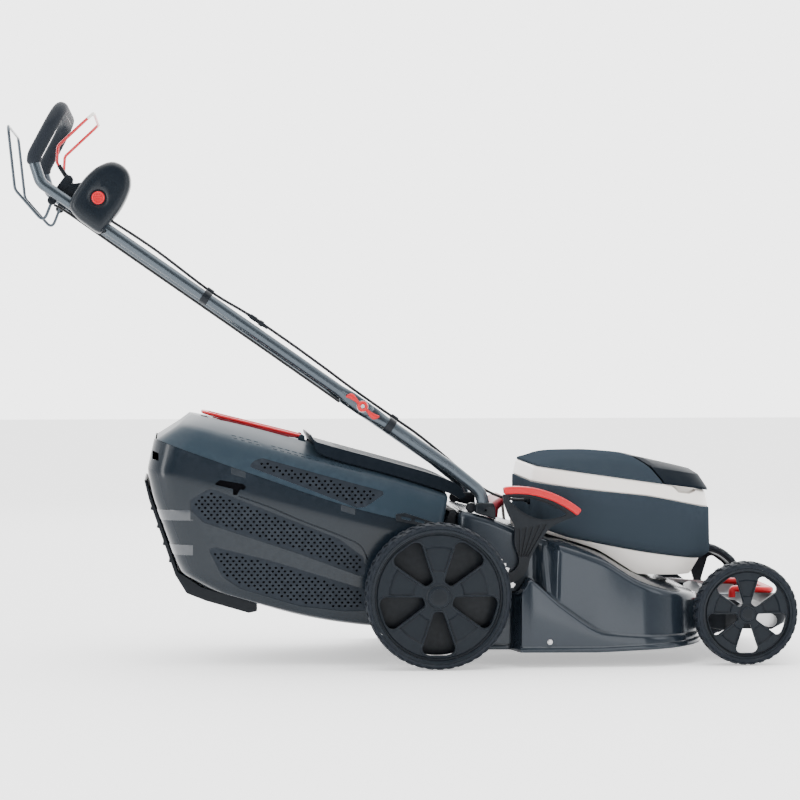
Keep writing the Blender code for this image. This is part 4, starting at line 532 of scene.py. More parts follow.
def wheel(side_name, end, side, axle, size, rim, face, width):
    hub_node, tyre_node, body = f"{end}_hub_{side_name}", f"{end}_tyre_{side_name}", f"{end}_wheel_{side_name}"
    k = rim / REAR_RIM
    centre = (axle[0], 0.0, axle[1])

    def out(depth):
        return side * (face - depth)

    def window(turn, grow):
        return window_outline(axle, turn, 0.029 * k, 0.1135 * k, 0.0085 * k, 0.0365 * k, grow * k)

    outer_line = [(0.001, 0.0008), (0.016 * k, 0.0011), (0.0205 * k, 0.0022), (0.0215 * k, 0.005),
                  (0.0235 * k, 0.0062), (0.047 * k, 0.0066), (0.05 * k, 0.0095), (0.092 * k, 0.0098),
                  (0.096 * k, 0.0062), (0.1165 * k, 0.0068), (0.1185 * k, 0.009), (0.1215 * k, 0.009),
                  (0.1228 * k, 0.003), (0.1268 * k, 0.0018), (rim - 0.0006, 0.0026)]
    inner_line = [(rim - 0.0006, width - 0.003), (0.124 * k, width - 0.003), (0.1185 * k, 0.0165),
                  (0.096 * k, 0.0135), (0.05 * k, 0.014), (0.02 * k, 0.018), (0.019 * k, width - 0.003),
                  (0.001, width - 0.003)]
    profile = [(r, out(depth)) for r, depth in outer_line + inner_line]
    hub = new_piece(f"{hub_node}_dressed", turned(profile, "Y", centre, 120), wheel_plastic, body, [hub_node], 28.0)
    tool = bmesh.new()
    lips = bmesh.new()
    for i in range(5):
        turn = math.radians(270.0 + 72.0 * i)
        plate(window(turn, 0.0), out(-0.004), out(width), mesh=tool)
        rings = [[(x, out(depth), z) for x, z in window(turn, grow)] for grow, depth in WINDOW_LIP]
        skin(rings, caps=False, closed=True, mesh=lips)
    carve(hub, tool, 28.0)
    new_piece(f"{hub_node}_window_rims", lips, wheel_plastic, body, smooth=50.0)
    back_disc = [(0.0215 * k, out(width - 0.01)), (0.06 * k, out(width - 0.014)), (0.115 * k, out(width - 0.01)),
                 (0.115 * k, out(width - 0.0085)), (0.06 * k, out(width - 0.0125)), (0.0215 * k, out(width - 0.0085))]
    if end == "rear":
        new_piece(f"{hub_node}_dust_cover", turned(back_disc, "Y", centre, 72, closed=True), black_plastic, body)
    cap = [(0.0005, out(0.00055)), (0.0105 * k, out(0.0005)), (0.015 * k, out(0.0008)), (0.015 * k, out(0.0016)),
           (0.0005, out(0.0016))]
    new_piece(f"{hub_node}_cap", turned(cap, "Y", centre, 48), black_plastic, body)

    wide, low = width / 2.0, size - rim
    mid = side * (face - wide)
    across = [(-wide + 0.0018, -0.0004), (-wide + 0.0004, 0.0022), (-wide + 0.0008, low * 0.45),
              (-wide + 0.0045, low * 0.78), (-wide + 0.01, low - 0.003), (-wide * 0.4, low - 0.0022)]
    across = across + [(-u, v) for u, v in reversed(across)]
    body_line = [(rim + v, mid + u) for u, v in across]
    tread = turned(body_line, "Y", centre, 120, closed=True)
    lugs = LUGS[end]
    for i in range(lugs):
        for hand in (-1, 1):
            middle_turn = 2.0 * math.pi * (i + (0.5 if hand > 0 else 0.0)) / lugs
            half = math.pi / lugs * 0.62
            rings = []
            for u, low_r, high_r in ((-wide + 0.0012, rim + low * 0.62, rim + low * 0.72),
                                     (-wide + 0.0052, rim + low * 0.7, size - 0.0014),
                                     (-wide + 0.0095, rim + low * 0.72, size - 0.0002),
                                     (-wide * 0.28, rim + low * 0.72, size - 0.0001)):
                lean = (u + wide) * 2.2
                ring = []
                for radius, t in ((low_r, -half), (high_r, -half * 0.86), (high_r, half * 0.86), (low_r, half)):
                    angle = middle_turn + t + lean
                    ring.append(about("Y", (centre[0], mid - hand * u, centre[2]), radius, 0.0, angle))
                rings.append(ring)
            skin(rings, mesh=tread)
    for i in range(lugs * 2):
        angle = 2.0 * math.pi * i / (lugs * 2)
        half = math.pi / lugs * 0.3
        corners = ((rim + low * 0.7, -half), (size - 0.0001, -half), (size - 0.0001, half), (rim + low * 0.7, half))
        skin([[about("Y", (centre[0], mid + u, centre[2]), radius, 0.0, angle + t + u * 3.0) for radius, t in corners]
              for u in (-wide * 0.22, wide * 0.22)], mesh=tread)
    new_piece(f"{tyre_node}_dressed", tread, tyre, body, [tyre_node], 32.0)


for side_name, side in SIDES:
    wheel(side_name, "rear", side, (0.0, 0.14), 0.14, REAR_RIM, 0.27, 0.05)
    wheel(side_name, "front", side, (0.6, 0.1), 0.1, 0.0885, 0.2475, 0.045)

# Handle tubes, both flattened where the wing nuts clamp them together
HANDLE_Y, LOWER_Y = 0.18, 0.1705
UPPER_TUBE, LOWER_TUBE, POWER_CORD, DRIVE_CORD = 0.0109, 0.0121, 0.0028, 0.0026
FOLD = Vector((-0.14, 0.0, 0.5))
SLOPE = math.radians(34.85)
RISE = Vector((-math.cos(SLOPE), 0.0, math.sin(SLOPE)))
NORMAL = Vector((math.sin(SLOPE), 0.0, math.cos(SLOPE)))


def on_handle(reach, y, lift=0.0):
    """Point on the handle's line: reach from the fold, lift square to it, at a width."""
    place = FOLD + RISE * reach + NORMAL * lift
    return Vector((place.x, y, place.z))


def dense(path, step=0.006):
    """The same path with points close together."""
    result = [Vector(path[0])]
    for a, b in zip(path, path[1:]):
        parts = max(1, math.ceil((Vector(b) - Vector(a)).length / step))
        for i in range(parts):
            result.append(Vector(a).lerp(Vector(b), (i + 1) / parts))
    return result


def ease(value, low, high):
    share = min(max((value - low) / (high - low), 0.0), 1.0)
    return share * share * (3.0 - 2.0 * share)


def pipe(path, size_at, side=(0.0, 1.0, 0.0), steps=20, power=1.0):
    """Tube along a path; size_at(distance, length) gives half width, half depth and shift."""
    path = [Vector(p) for p in path]
    total = sum((b - a).length for a, b in zip(path, path[1:]))
    across, last, gone, rings = Vector(side), None, 0.0, []
    for i, here in enumerate(path):
        heading = (path[min(i + 1, len(path) - 1)] - path[max(i - 1, 0)]).normalized()
        if last is not None:
            across = last.rotation_difference(heading) @ across
            gone += (here - path[i - 1]).length
        across = (across - heading * across.dot(heading)).normalized()
        up = heading.cross(across)
        wide, deep, shift = size_at(gone, total)
        ring = []
        for turn in turns(steps, 0.5):
            c, s = math.cos(turn), math.sin(turn)
            c, s = math.copysign(abs(c) ** power, c), math.copysign(abs(s) ** power, s)
            ring.append(here + up * (wide * c) + across * (deep * s + shift))
        rings.append(ring)
        last = heading
    return skin(rings)


def oval(wide, deep):
    return lambda gone, total: (wide, deep, 0.0)


def even(radius):
    return oval(radius, radius)


def mirrored(path):
    return [Vector((p[0], -p[1], p[2])) for p in reversed([Vector(q) for q in path])]


# Half width and half depth of a tube where it is pressed flat
FLAT_WIDE, FLAT_DEEP = 0.0132, 0.0059


def flattened(radius, shift, both):
    """Round tube with a pressed flat at its end, or at both ends."""
    def size(gone, total):
        near = min(gone, total - gone) if both else total - gone
        press = 1.0 - ease(near, 0.046, 0.078)
        trim = math.sqrt(max(0.0, 1.0 - (1.0 - min(near, 0.012) / 0.012) ** 2)) * 0.45 + 0.55
        return ((radius + (FLAT_WIDE - radius) * press) * (1.0 if press < 1.0 else trim),
                radius + (FLAT_DEEP - radius) * press, shift * press)
    return size


upper_side = [on_handle(-0.022, -HANDLE_Y), on_handle(0.745, -HANDLE_Y), Vector((-0.766, -HANDLE_Y, 0.972)),
              Vector((-0.714, -HANDLE_Y, 1.07))]
bends = rounded(upper_side + mirrored(upper_side), [0.03, 0.03, 0.06, 0.06, 0.03, 0.03], 9)
upper_path = dense(bends)
new_piece("upper_tube", pipe(upper_path, flattened(UPPER_TUBE, -0.0035, True)), tube_paint, "handle", ["upper_handle"],
          40.0)
for side_name, side in SIDES:
    y = side * LOWER_Y
    path = rounded([(0.0985, y, 0.2945), (0.0905, y, 0.333), (0.0323, y, 0.38), on_handle(0.022, y)], [0.04, 0.05], 8)
    new_piece(f"lower_tube_{side_name}", pipe(dense(path), flattened(LOWER_TUBE, 0.0007 * side, False)), tube_paint,
              "mower", [f"lower_handle_{side_name}"], 40.0)

    # Wing nut: an S-shaped red wing on a collar, with the bolt's silver end in its middle
    body = f"wing_nut_{side_name}"
    out = side * 0.1898
    centre = (FOLD.x, out, FOLD.z)
    nut = turned(facing(side, mm((4.5, 0), (10, 0), (10.4, 1), (10.4, 5.2), (9.8, 6.6), (7.5, 8), (4.5, 8))), "Y",
                 centre, 40, True)
    line = smooth_line(mm((-37.5, 1), (-30, -3.6), (-18, -3), (-6, 0), (6, 0), (18, 3), (30, 3.6), (37.5, -1)), 6)
    rings = []
    for i, (reach, sweep) in enumerate(line):
        end_share = min(i, len(line) - 1 - i) / 5.0
        half = (0.003 + 0.0026 * ease(abs(reach), 0.012, 0.03)) * math.sqrt(min(1.0, end_share + 0.08))
        middle = FOLD + RISE * reach + NORMAL * sweep
        ring = []
        for turn in turns(12):
            lift = NORMAL * (half * math.cos(turn))
            ring.append((middle.x + lift.x, out + side * (0.0036 + 0.0023 * math.sin(turn)), middle.z + lift.z))
        rings.append(ring)
    skin(rings, mesh=nut)
    new_piece(f"wing_nut_{side_name}_dressed", nut, red, body, [body], 40.0)
    bolt = turned(facing(side, mm((0.5, 9), (3, 9), (3.8, 8.2), (4, 0), (3.9, -25), (0.5, -25))), "Y", centre, 24)
    turned(facing(side, mm((0.5, -29), (8.5, -28.8), (8.8, -28), (8.8, -25), (0.5, -25))), "Y", centre, 6, mesh=bolt)
    new_piece(f"clamp_bolt_{side_name}", bolt, steel, body)
    washer = turned(facing(side, mm((4.5, 0), (11.5, 0), (11.5, -0.3), (4.5, -0.3))), "Y", centre, 32, True)
    new_piece(f"clamp_washer_{side_name}", washer, steel, body)

    # Socket of the lower tube on the deck, with a collar round its mouth
    socket_line = mm((79.5, 292.5), (100, 287.2), (118.6, 280.2), (117.6, 302), (113.8, 312.5), (83.2, 312.5),
                     (79.4, 306))
    socket = plate(socket_line, side * 0.154, side * 0.187)
    socket = edge_round(new_piece(f"tube_socket_{side_name}", socket, black_plastic, "mower",
                                  [f"handle_socket_{side_name}"]), 0.0022)
    hole = pipe([(0.0995, y, 0.29), (0.0885, y, 0.343)], even(0.0124), steps=28)
    carve(socket, hole)
    screw = turned(facing(side, mm((0.5, -0.2), (2.2, -0.2), (4.2, -1.2), (4.2, -3), (0.5, -3))), "Y",
                   (0.0985, side * 0.1872, 0.2985), 20)
    new_piece(f"socket_screw_{side_name}", screw, steel, "mower")


CLIP_HALF, CLIP_EDGE = 0.0075, 0.0006


def tube_clip(name, body, reach, y, radius, lift, cable_y):
    """Collar round a tube, with a smaller loop that holds the cable on it."""
    made = bmesh.new()
    for middle_lift, width, inner, outer in ((0.0, y, radius + 0.0002, radius + 0.0028),
                                             (lift, cable_y, 0.0029, 0.005)):
        rings = []
        for along, size in ((-CLIP_HALF, inner), (-CLIP_HALF, outer - CLIP_EDGE), (-CLIP_HALF + 0.0007, outer),
                            (CLIP_HALF - 0.0007, outer), (CLIP_HALF, outer - CLIP_EDGE), (CLIP_HALF, inner)):
            middle = on_handle(reach + along, width, middle_lift)
            rings.append([middle + NORMAL * (size * math.cos(turn)) + Vector((0.0, size * math.sin(turn), 0.0))
                          for turn in turns(28)])
        skin(rings, closed=True, mesh=made)
    new_piece(name, made, black_plastic, body, smooth=40.0)


tube_clip("cable_clip_low", "mower", -0.066, -LOWER_Y, 0.0122, 0.0173, -0.1525)
tube_clip("cable_clip_high", "handle", 0.365, -HANDLE_Y, 0.011, 0.015, -0.1755)

# Cables: the motor's runs over the tube to the hood, the drive's under it to the gearbox
power_line = [on_handle(0.668, -0.18, 0.013), on_handle(0.61, -0.179, 0.0165), on_handle(0.5, -0.176, 0.02),
              on_handle(0.365, -0.1755, 0.015), on_handle(0.28, -0.1755, 0.02), on_handle(0.19, -0.174, 0.021),
              on_handle(0.1, -0.17, 0.0195), on_handle(0.03, -0.162, 0.0175), on_handle(-0.066, -0.1525, 0.0173),
              on_handle(-0.12, -0.1525, 0.0173), Vector((0.0212, -0.1525, 0.403)), Vector((0.0817, -0.152, 0.35)),
              Vector((0.1209, -0.148, 0.3265)), Vector((0.16, -0.1345, 0.316)), Vector((0.1895, -0.126, 0.315))]
power = new_piece("power_cable", pipe(smooth_line(power_line, 10), even(POWER_CORD), steps=12), cable, None,
                  ["power_cable_upper", "power_cable_lower"], 60.0)
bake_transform(power)
drive_line = [Vector((-0.727, -0.16, 0.885)), on_handle(0.668, -0.162, -0.017), on_handle(0.54, -0.17, -0.0175),
              on_handle(0.3, -0.17, -0.0172), on_handle(0.12, -0.169, -0.0175), on_handle(0.04, -0.164, -0.0178)]
new_piece("drive_cable_dressed", pipe(smooth_line(drive_line, 10), even(DRIVE_CORD), steps=12), cable, "handle",
          ["drive_cable"], 60.0)
adjuster = turned(mm((0.5, -24), (3, -24), (3.4, -18), (4.6, -17), (5, -4), (4.2, -3), (4.2, 3), (5.6, 4), (5.6, 12),
                     (4, 13), (3.4, 24), (0.5, 24)), "X", (0.0, 0.0, 0.0), 20)
slant = (-RISE).to_track_quat("X", "Z").to_matrix().to_4x4()
bmesh.ops.transform(adjuster, matrix=slant, verts=adjuster.verts)
bmesh.ops.translate(adjuster, verts=adjuster.verts, vec=on_handle(0.258, -0.1752, 0.02))
new_piece("cable_adjuster", adjuster, black_plastic, "handle", smooth=30.0)


# Foam sleeve round the top of the handle, with a soft rolled end
def sleeve_size(gone, total):
    near = min(gone, total - gone)
    radius = 0.01385 - 0.0025 * (1.0 - math.sqrt(max(0.0, 1.0 - (1.0 - min(near, 0.005) / 0.005) ** 2)))
    return (radius, radius, 0.0)


grip_line = [p for p in upper_path if p.z > 0.962]
sleeve = pipe(grip_line, sleeve_size, steps=28)
new_piece("grip_sleeve_dressed", sleeve, foam, "handle", ["grip_sleeve"], 60.0)
seam_line = [p for p in grip_line if abs(p.y) < 0.115]
seam = pipe([p + Vector((0.0085, 0.0, -0.0107)) for p in seam_line[::4]], even(0.0005), side=UP, steps=6)
new_piece("grip_sleeve_seam", seam, black_plastic, "handle")


# Bails
MOTOR_AXIS, DRIVE_AXIS = (-0.7, 0.932), (-0.731, 0.893)


def ribbed(gone, _):
    """Size of the bails' sheaths, with a fine rib about every 4 mm."""
    return (0.0043 + 0.0004 * math.cos(gone * 1600.0),) * 2 + (0.0,)


def bail(name, corners, radii, material):
    near = [Vector(c) for c in corners]
    path = dense(rounded(near + mirrored(near), radii + radii[::-1], 8), 0.012)
    new_piece(f"{name}_dressed", pipe(path, even(0.00295), side=UP, steps=14), material, name, [name], 60.0)


bail("motor_bail", mm((-700, -167.5, 932), (-700, -147, 932), (-722, -147, 966), (-720, -147, 998), (-652, -147, 1062)),
     [0.006, 0.012, 0.014, 0.024], bail_red)
bail("drive_bail", mm((-731, -167.5, 893), (-731, -158, 893), (-747, -158, 852), (-801, -158, 914), (-814, -158, 1036)),
     [0.005, 0.01, 0.022, 0.022], tube_paint)
for side_name, side in SIDES:
    y = side * 0.147
    sheath = pipe(dense([(-0.7045, y, 0.9395), (-0.7185, y, 0.961)], 0.002), ribbed, steps=16)
    new_piece(f"bail_sheath_{side_name}", sheath, black_plastic, "motor_bail", smooth=60.0)
    # Cream at each bend into the crossbar: a painted highlight where the crossbar's end catches the light
    tip_path = rounded([(-0.664, y, 1.0505), (-0.6535, y, 1.06), (-0.652, y * 0.9, 1.0612)], [0.006])
    tip = pipe(dense(tip_path, 0.002), even(0.003), side=UP, steps=16)
    new_piece(f"bail_bend_highlight_{side_name}", tip, cream, "motor_bail", smooth=60.0)

# Switch box: two domed halves round the right tube, and ears that the bails turn in
SWITCH_LINE = mm((-697, 878), (-684, 859), (-668, 846), (-642, 829), (-630, 836), (-616, 853), (-601, 872),
                 (-588, 896), (-580, 921), (-583, 944), (-597, 960), (-618, 966), (-644, 956), (-666, 937),
                 (-683, 914), (-692, 899))
SWITCH_MIDDLE = (-0.638, 0.898)
BUTTON = (-0.642, -0.2149, 0.896)
switch_smooth = smooth_line(SWITCH_LINE, 5, closed=True)


def switch_ring(y, share):
    return [(SWITCH_MIDDLE[0] + (x - SWITCH_MIDDLE[0]) * share, y, SWITCH_MIDDLE[1] + (z - SWITCH_MIDDLE[1]) * share)
            for x, z in switch_smooth]


outer_levels = [(-0.1803, 0.985), (-0.181, 0.993), (-0.183, 0.996), (-0.196, 0.99), (-0.204, 0.975), (-0.2085, 0.95),
                (-0.2115, 0.915), (-0.2136, 0.86), (-0.2147, 0.78), (-0.2149, 0.6), (-0.2149, 0.3), (-0.2149, 0.02)]
inner_levels = [(-0.1797, 0.985), (-0.179, 0.993), (-0.177, 0.996), (-0.166, 0.985), (-0.1605, 0.955), (-0.1575, 0.9),
                (-0.1562, 0.8), (-0.1561, 0.4), (-0.1561, 0.02)]
tube_run = [on_handle(0.5, -HANDLE_Y), on_handle(0.74, -HANDLE_Y)]
outer = new_piece("switch_half_outer", skin([switch_ring(y, s) for y, s in outer_levels]), switch_plastic, "handle",
                  ["switch_box_outer"], 32.0)
dish = turned(mm((0.5, 14), (13.5, 14), (13.5, 3.5), (15, 2.2), (19, 0.6), (24, -0.6), (24, -6), (0.5, -6)), "Y",
              BUTTON, 56)
carve(carve(outer, pipe(tube_run, even(0.0112), steps=28), 32.0), dish, 32.0)
inner = new_piece("switch_half_inner", skin([switch_ring(y, s) for y, s in inner_levels]), switch_plastic, "handle",
                  ["switch_box_inner"], 32.0)
carve(inner, pipe(tube_run, even(0.0112), steps=28), 32.0)
button = turned(mm((0.5, 7.5), (12.2, 7.5), (12.4, 0), (11.8, -1.6), (10.4, -2.3), (9.2, -2), (8.4, -1), (0.5, -0.6)),
                "Y", BUTTON, 48)
RIB_STEP, RIBBED_RADIUS = 0.0042, 0.0078
for lift in (-RIB_STEP, 0.0, RIB_STEP):
    half = math.sqrt(RIBBED_RADIUS ** 2 - lift ** 2)
    rings = []
    for along, depth in ((-half, -0.0008), (-half * 0.8, -0.002), (half * 0.8, -0.002), (half, -0.0008)):
        rings.append([(BUTTON[0] + along, BUTTON[1] + inwards, BUTTON[2] + lift + rise)
                      for inwards, rise in ((depth, 0.0008), (depth, -0.0008), (0.001, -0.0011), (0.001, 0.0011))])
    skin(rings, mesh=button)
new_piece("start_button_dressed", button, red, "start_button", ["start_button"], 32.0)
socket_ring = turned(mm((12.6, 2), (13.4, 1.4), (14.4, 1.6), (15, 2.6), (12.6, 4)), "Y",
                     BUTTON, 48, True)
new_piece("button_ring", socket_ring, black_plastic, "handle", smooth=40.0)


def ear_line(a, b, ra, rb):
    heading = math.degrees(math.atan2(b[1] - a[1], b[0] - a[0]))
    return arc(a, ra, heading + 90, heading + 270, 16) + arc(b, rb, heading - 90, heading + 90, 16)


for side_name, side in SIDES:
    ear = plate(ear_line(MOTOR_AXIS, DRIVE_AXIS, 0.0096, 0.0086), side * 0.1619, side * 0.1681)
    if side == RIGHT:
        plate(ear_line((-0.715, 0.912), (-0.675, 0.912), 0.0096, 0.0156), side * 0.1623, side * 0.1677, mesh=ear)
    else:
        plate(ear_line((-0.722, 0.91), (-0.69, 0.888), 0.0106, 0.0166), side * 0.1623, side * 0.1936, mesh=ear)
    ear = new_piece(f"bail_ear_{side_name}", ear, switch_plastic, "handle", ["bail_bearing"] if side == LEFT else ())
    edge_round(ear, 0.0012, 2)
    for axis_name, axis in (("motor", MOTOR_AXIS), ("drive", DRIVE_AXIS)):
        collar = turned(facing(side, mm((3.1, -0.6), (5.6, -0.6), (6, 0), (6, 6.6), (5.4, 7.2), (3.1, 7.2))), "Y",
                        (axis[0], side * 0.1618, axis[1]), 24, True)
        new_piece(f"{axis_name}_bail_collar_{side_name}", collar, black_plastic, "handle", smooth=40.0)
for number, (x, z) in enumerate(((-0.606, 0.938), (-0.644, 0.842))):
    screw = turned(mm((0.5, 0.6), (2.2, 0.6), (3.4, 0), (3.4, 3), (0.5, 3)), "Y", (x, -0.1567, z), 18)
    new_piece(f"switch_screw_{number + 1}", screw, steel, "handle")
foot = pipe(mm((-638.5, -193, 844), (-633, -193, 830)), even(0.005), steps=20)
new_piece("switch_cable_gland", foot, black_plastic, "handle", smooth=40.0)

# Floor: plain and pale, as in the photograph
floor_material, _, floor_shader = new_material("floor")
set_inputs(floor_shader, {"Base Color": (0.9, 0.9, 0.9, 1.0), "Roughness": 0.9, "Specular IOR Level": 0.2,
                          "Emission Color": WHITE, "Emission Strength": 0.55})
floor_mesh = bmesh.new()
bmesh.ops.create_grid(floor_mesh, x_segments=1, y_segments=1, size=14.0)
floor_data = bpy.data.meshes.new("floor")
floor_mesh.to_mesh(floor_data)
floor_mesh.free()
floor_data.materials.append(floor_material)
floor = placed("floor", floor_data)
floor.location.z = -0.0005

# Grass box: a tub with vented sides, a cover, a skid and a carrying handle
HALF = 0.195
SEAM = mm((-600, 460.8), (-540, 439), (-375, 379), (-165, 307), (20, 262), (100, 242.6))
RIDGE = mm((-490, 465.5), (-290, 410), (-70, 353), (36, 322))
BOX_CROWN = mm((-475, 484), (-365, 460), (-240, 426), (-70, 376), (30, 334))


def plan(x0, x1, half, rear, front, corner=8, run=20):
    """Rounded plan outline, running from the front right round the rear to the front left."""
    points = [(x1 - front + px, half - front + py) for px, py in arc((0, 0), front, 0, 90, corner)]
    points += [(x1 - front + (x0 + rear - x1 + front) * k / run, half) for k in range(1, run)]
    points += [(x0 + rear + px, half - rear + py) for px, py in arc((0, 0), rear, 90, 180, corner)]
    return points + [(x, -y) for x, y in reversed(points)]


def box_ring(x0, x1, half, line, lift=0.0):
    return at_height(plan(x0, x1, half, 0.05, 0.012), smooth_line(line), lift)


def at_height(outline, line, lift=0.0):
    """Ring over a plan outline, at the height that a line gives for each X."""
    return [(x, y, read_line(line, x) + lift) for x, y in outline]


def between(low, high, share):
    return [tuple(a + (b - a) * share for a, b in zip(p, q)) for p, q in zip(low, high)]


def shell(name, levels, share, material, body, node_name, smooth, thickness):
    """Piece with a wall, made from softened rings, with its last ring closed by flat strips from side to side."""
    mesh = skin(softened(levels, share), caps=False)
    mesh.verts.ensure_lookup_table()
    last = mesh.verts[-len(levels[-1]):]
    count = len(last)
    for i in range(count // 2 - 1):
        mesh.faces.new((last[i], last[i + 1], last[count - 2 - i], last[count - 1 - i]))
    return wall(new_piece(name, mesh, material, body, [node_name], smooth), thickness)


def softened(levels, share):
    """Adds a ring close to each side of every inner level, so that the edges between them are round."""
    rings = [levels[0]]
    for before, here, after in zip(levels, levels[1:], levels[2:]):
        near, far = between(here, before, share), between(here, after, share)
        middle = [tuple(0.25 * a + 0.5 * b + 0.25 * c for a, b, c in zip(p, q, r))
                  for p, q, r in zip(near, here, far)]
        rings += [near, middle, far]
    return rings + [levels[-1]]


def mouth_cut(piece):
    mouth = plate(mm((-40, 202), (50, 202), (50, 290), (0, 290)), -0.15, 0.15)
    carve(piece, mouth, 25.0)


def beyond_seam(step, height):
    line = [(x, z + step) for x, z in smooth_line(SEAM, 10)]
    return plate(line + [(SEAM[-1][0], height), (SEAM[0][0], height)], -0.3, 0.3)


tub_levels = [box_ring(-0.538, 0.0135, HALF - 0.002, SEAM, 0.004), box_ring(-0.552, 0.003, HALF,
                                                                            mm((-552, 380), (3, 236))),
              box_ring(-0.541, -0.04, HALF - 0.002, mm((-541, 325), (-40, 199))),
              box_ring(-0.49, -0.047, HALF - 0.008, mm((-490, 180), (-260, 133), (-47, 110))),
              box_ring(-0.445, -0.056, HALF - 0.02, mm((-445, 152), (-261, 102), (-126, 80), (-50, 78))),
              box_ring(-0.425, -0.078, HALF - 0.04, mm((-430, 146), (-261, 96.5), (-126, 74.5), (-50, 72.5)))]
tub = shell("box_tub", tub_levels, 0.16, box_gloss, "grass_box", "box_lower", 30.0, 0.0025)
carve(tub, beyond_seam(-0.0002, 0.6), 30.0)
mouth_cut(tub)
seam_ring = box_ring(-0.538, 0.0135, HALF - 0.002, SEAM, -0.004)
ridge_ring = box_ring(-0.49, 0.029, HALF - 0.027, RIDGE)
cover_levels = [seam_ring, between(seam_ring, ridge_ring, 0.5), ridge_ring,
                box_ring(-0.47, 0.025, HALF - 0.105, BOX_CROWN)]
cover = shell("box_cover_shell", cover_levels, 0.25, box_cover, "grass_box", "box_upper", 30.0, 0.0025)
carve(cover, beyond_seam(0.0002, 0.0), 30.0)
mouth_cut(cover)

RAY_START, BOX_SIDE, HOOD_SIDE = 0.4, 0.19, 0.16


def surface_reader(piece):
    """Reads where a ray meets a piece, counted from the rear axle."""
    tree = BVHTree.FromPolygons([v.co for v in piece.data.vertices], [f.vertices for f in piece.data.polygons])

    def hit(start, heading):
        place = tree.ray_cast(Vector(start) + SHIFT, Vector(heading))[0]
        return place - SHIFT if place else None
    return hit


def side_of(hit, side, otherwise):
    """Gives a function that reads a piece's half width on one side at X and Z."""
    def half_width(x, z):
        place = hit((x, side * RAY_START, z), (0.0, -side, 0.0))
        return abs(place.y) if place else otherwise
    return half_width


def inside(outline, x, z, margin):
    """Whether a point lies inside an outline, at least a margin from its edges."""
    odd = False
    for (x0, z0), (x1, z1) in zip(outline, outline[1:] + outline[:1]):
        if (z0 > z) != (z1 > z) and x < x0 + (z - z0) * (x1 - x0) / (z1 - z0):
            odd = not odd
        run = Vector((x1 - x0, z1 - z0))
        share = min(1.0, max(0.0, Vector((x - x0, z - z0)).dot(run) / run.length_squared))
        if (Vector((x - x0, z - z0)) - run * share).length < margin:
            return False
    return odd


def soft_corners(outline, radius, steps=4):
    """Closed outline with its corners rounded."""
    start = Vector((*outline[0], 0.0)).lerp(Vector((*outline[-1], 0.0)), 0.5)
    path = rounded([start] + [Vector((*p, 0.0)) for p in outline] + [start], [radius] * len(outline), steps)
    return [(p.x, p.y) for p in path[:-1]]


def follow(piece, side, surface, sunk):
    """Bends a flat piece along a side's surface and sets its faces outwards. Its own depth counts inwards."""
    mesh = bmesh.new()
    mesh.from_mesh(piece.data)
    bmesh.ops.triangulate(mesh, faces=mesh.faces)
    for vertex in mesh.verts:
        vertex.co.y = side * (surface(vertex.co.x - ORIGIN_X, vertex.co.z) - sunk - vertex.co.y)
    bmesh.ops.recalc_face_normals(mesh, faces=mesh.faces)
    mesh.to_mesh(piece.data)
    mesh.free()


# Vent holes: their spacing, half sizes, turn of the corners and least distance from the edge
PITCH_X, PITCH_Z = 0.0116, 0.0068
HOLE_WIDE, HOLE_HIGH, HOLE_TURN, HOLE_MARGIN = 0.0027, 0.0023, 0.39, 0.0072
UPPER_VENT = mm((-359.5, 385.3), (-348, 396.7), (-332.7, 401.4), (-216.5, 369), (-98.3, 335.9), (-97.4, 329.2),
                (-133.1, 306), (-150.4, 304.2), (-255, 345))
MIDDLE_VENT = mm((-470.3, 303.1), (-470.3, 322.2), (-437.9, 342.1), (-426.5, 343), (-317.8, 300), (-183.7, 245.4),
                 (-137.7, 210.6), (-133.8, 176), (-145.2, 173.3), (-260.5, 216.5), (-445.6, 279.1))
LOWER_VENT = mm((-436.2, 228), (-422.8, 231.7), (-317.8, 206), (-133.5, 147.7), (-133.6, 105.3), (-173.9, 104.8),
                (-260.4, 115.3), (-375.2, 150.9), (-409.6, 174.1))
GROOVE = mm((-377.5, 329), (-317.8, 307.5), (-260.4, 282.5), (-183.7, 252.5), (-145.3, 233), (-130, 205))
NOTCH = mm((-424.6, 351.7), (-413.1, 360.2), (-369.3, 352.3), (-363.6, 346.6), (-367.4, 340.8), (-375, 342),
           (-380.8, 331.4), (-388.4, 331.5), (-388.4, 343))


def vent(name, outline, hit, side):
    """Sunk panel with rows of holes, let into a side; its middle stays just under the side's own surface."""
    edge = soft_corners(outline, 0.006)
    surface = side_of(hit, side, BOX_SIDE)
    panel = new_piece(name, plate(edge, 0.0, 0.0014), vent_plastic, "grass_box", smooth=40.0)
    tool = bmesh.new()
    low_x, high_x = min(x for x, _ in edge), max(x for x, _ in edge)
    low_z, high_z = min(z for _, z in edge), max(z for _, z in edge)
    row, z = 0, low_z + 0.004
    while z < high_z:
        x = low_x + (PITCH_X / 2 if row % 2 else 0.0)
        while x < high_x:
            if inside(edge, x, z, HOLE_MARGIN):
                hole = [(x + HOLE_WIDE * math.cos(turn + HOLE_TURN), z + HOLE_HIGH * math.sin(turn + HOLE_TURN))
                        for turn in turns(8)]
                plate(hole, -0.002, 0.004, mesh=tool)
            x += PITCH_X
        row, z = row + 1, z + PITCH_Z
    carve(panel, tool, 40.0)
    follow(panel, side, surface, 0.0009)
    # Near-black sheet behind the holes: painted shade inside the box
    shade_sheet = new_piece(f"{name}_shade_sheet", plate(edge, 0.0, 0.0006), black_painted_shade, "grass_box", smooth=40.0)
    follow(shade_sheet, side, surface, 0.006)
    middle = Vector((sum(x for x, _ in edge), sum(z for _, z in edge))) / len(edge)
    window = [tuple(Vector(p) - (Vector(p) - middle).normalized() * 0.001) for p in edge]
    return plate(window, side * 0.12, side * 0.24)


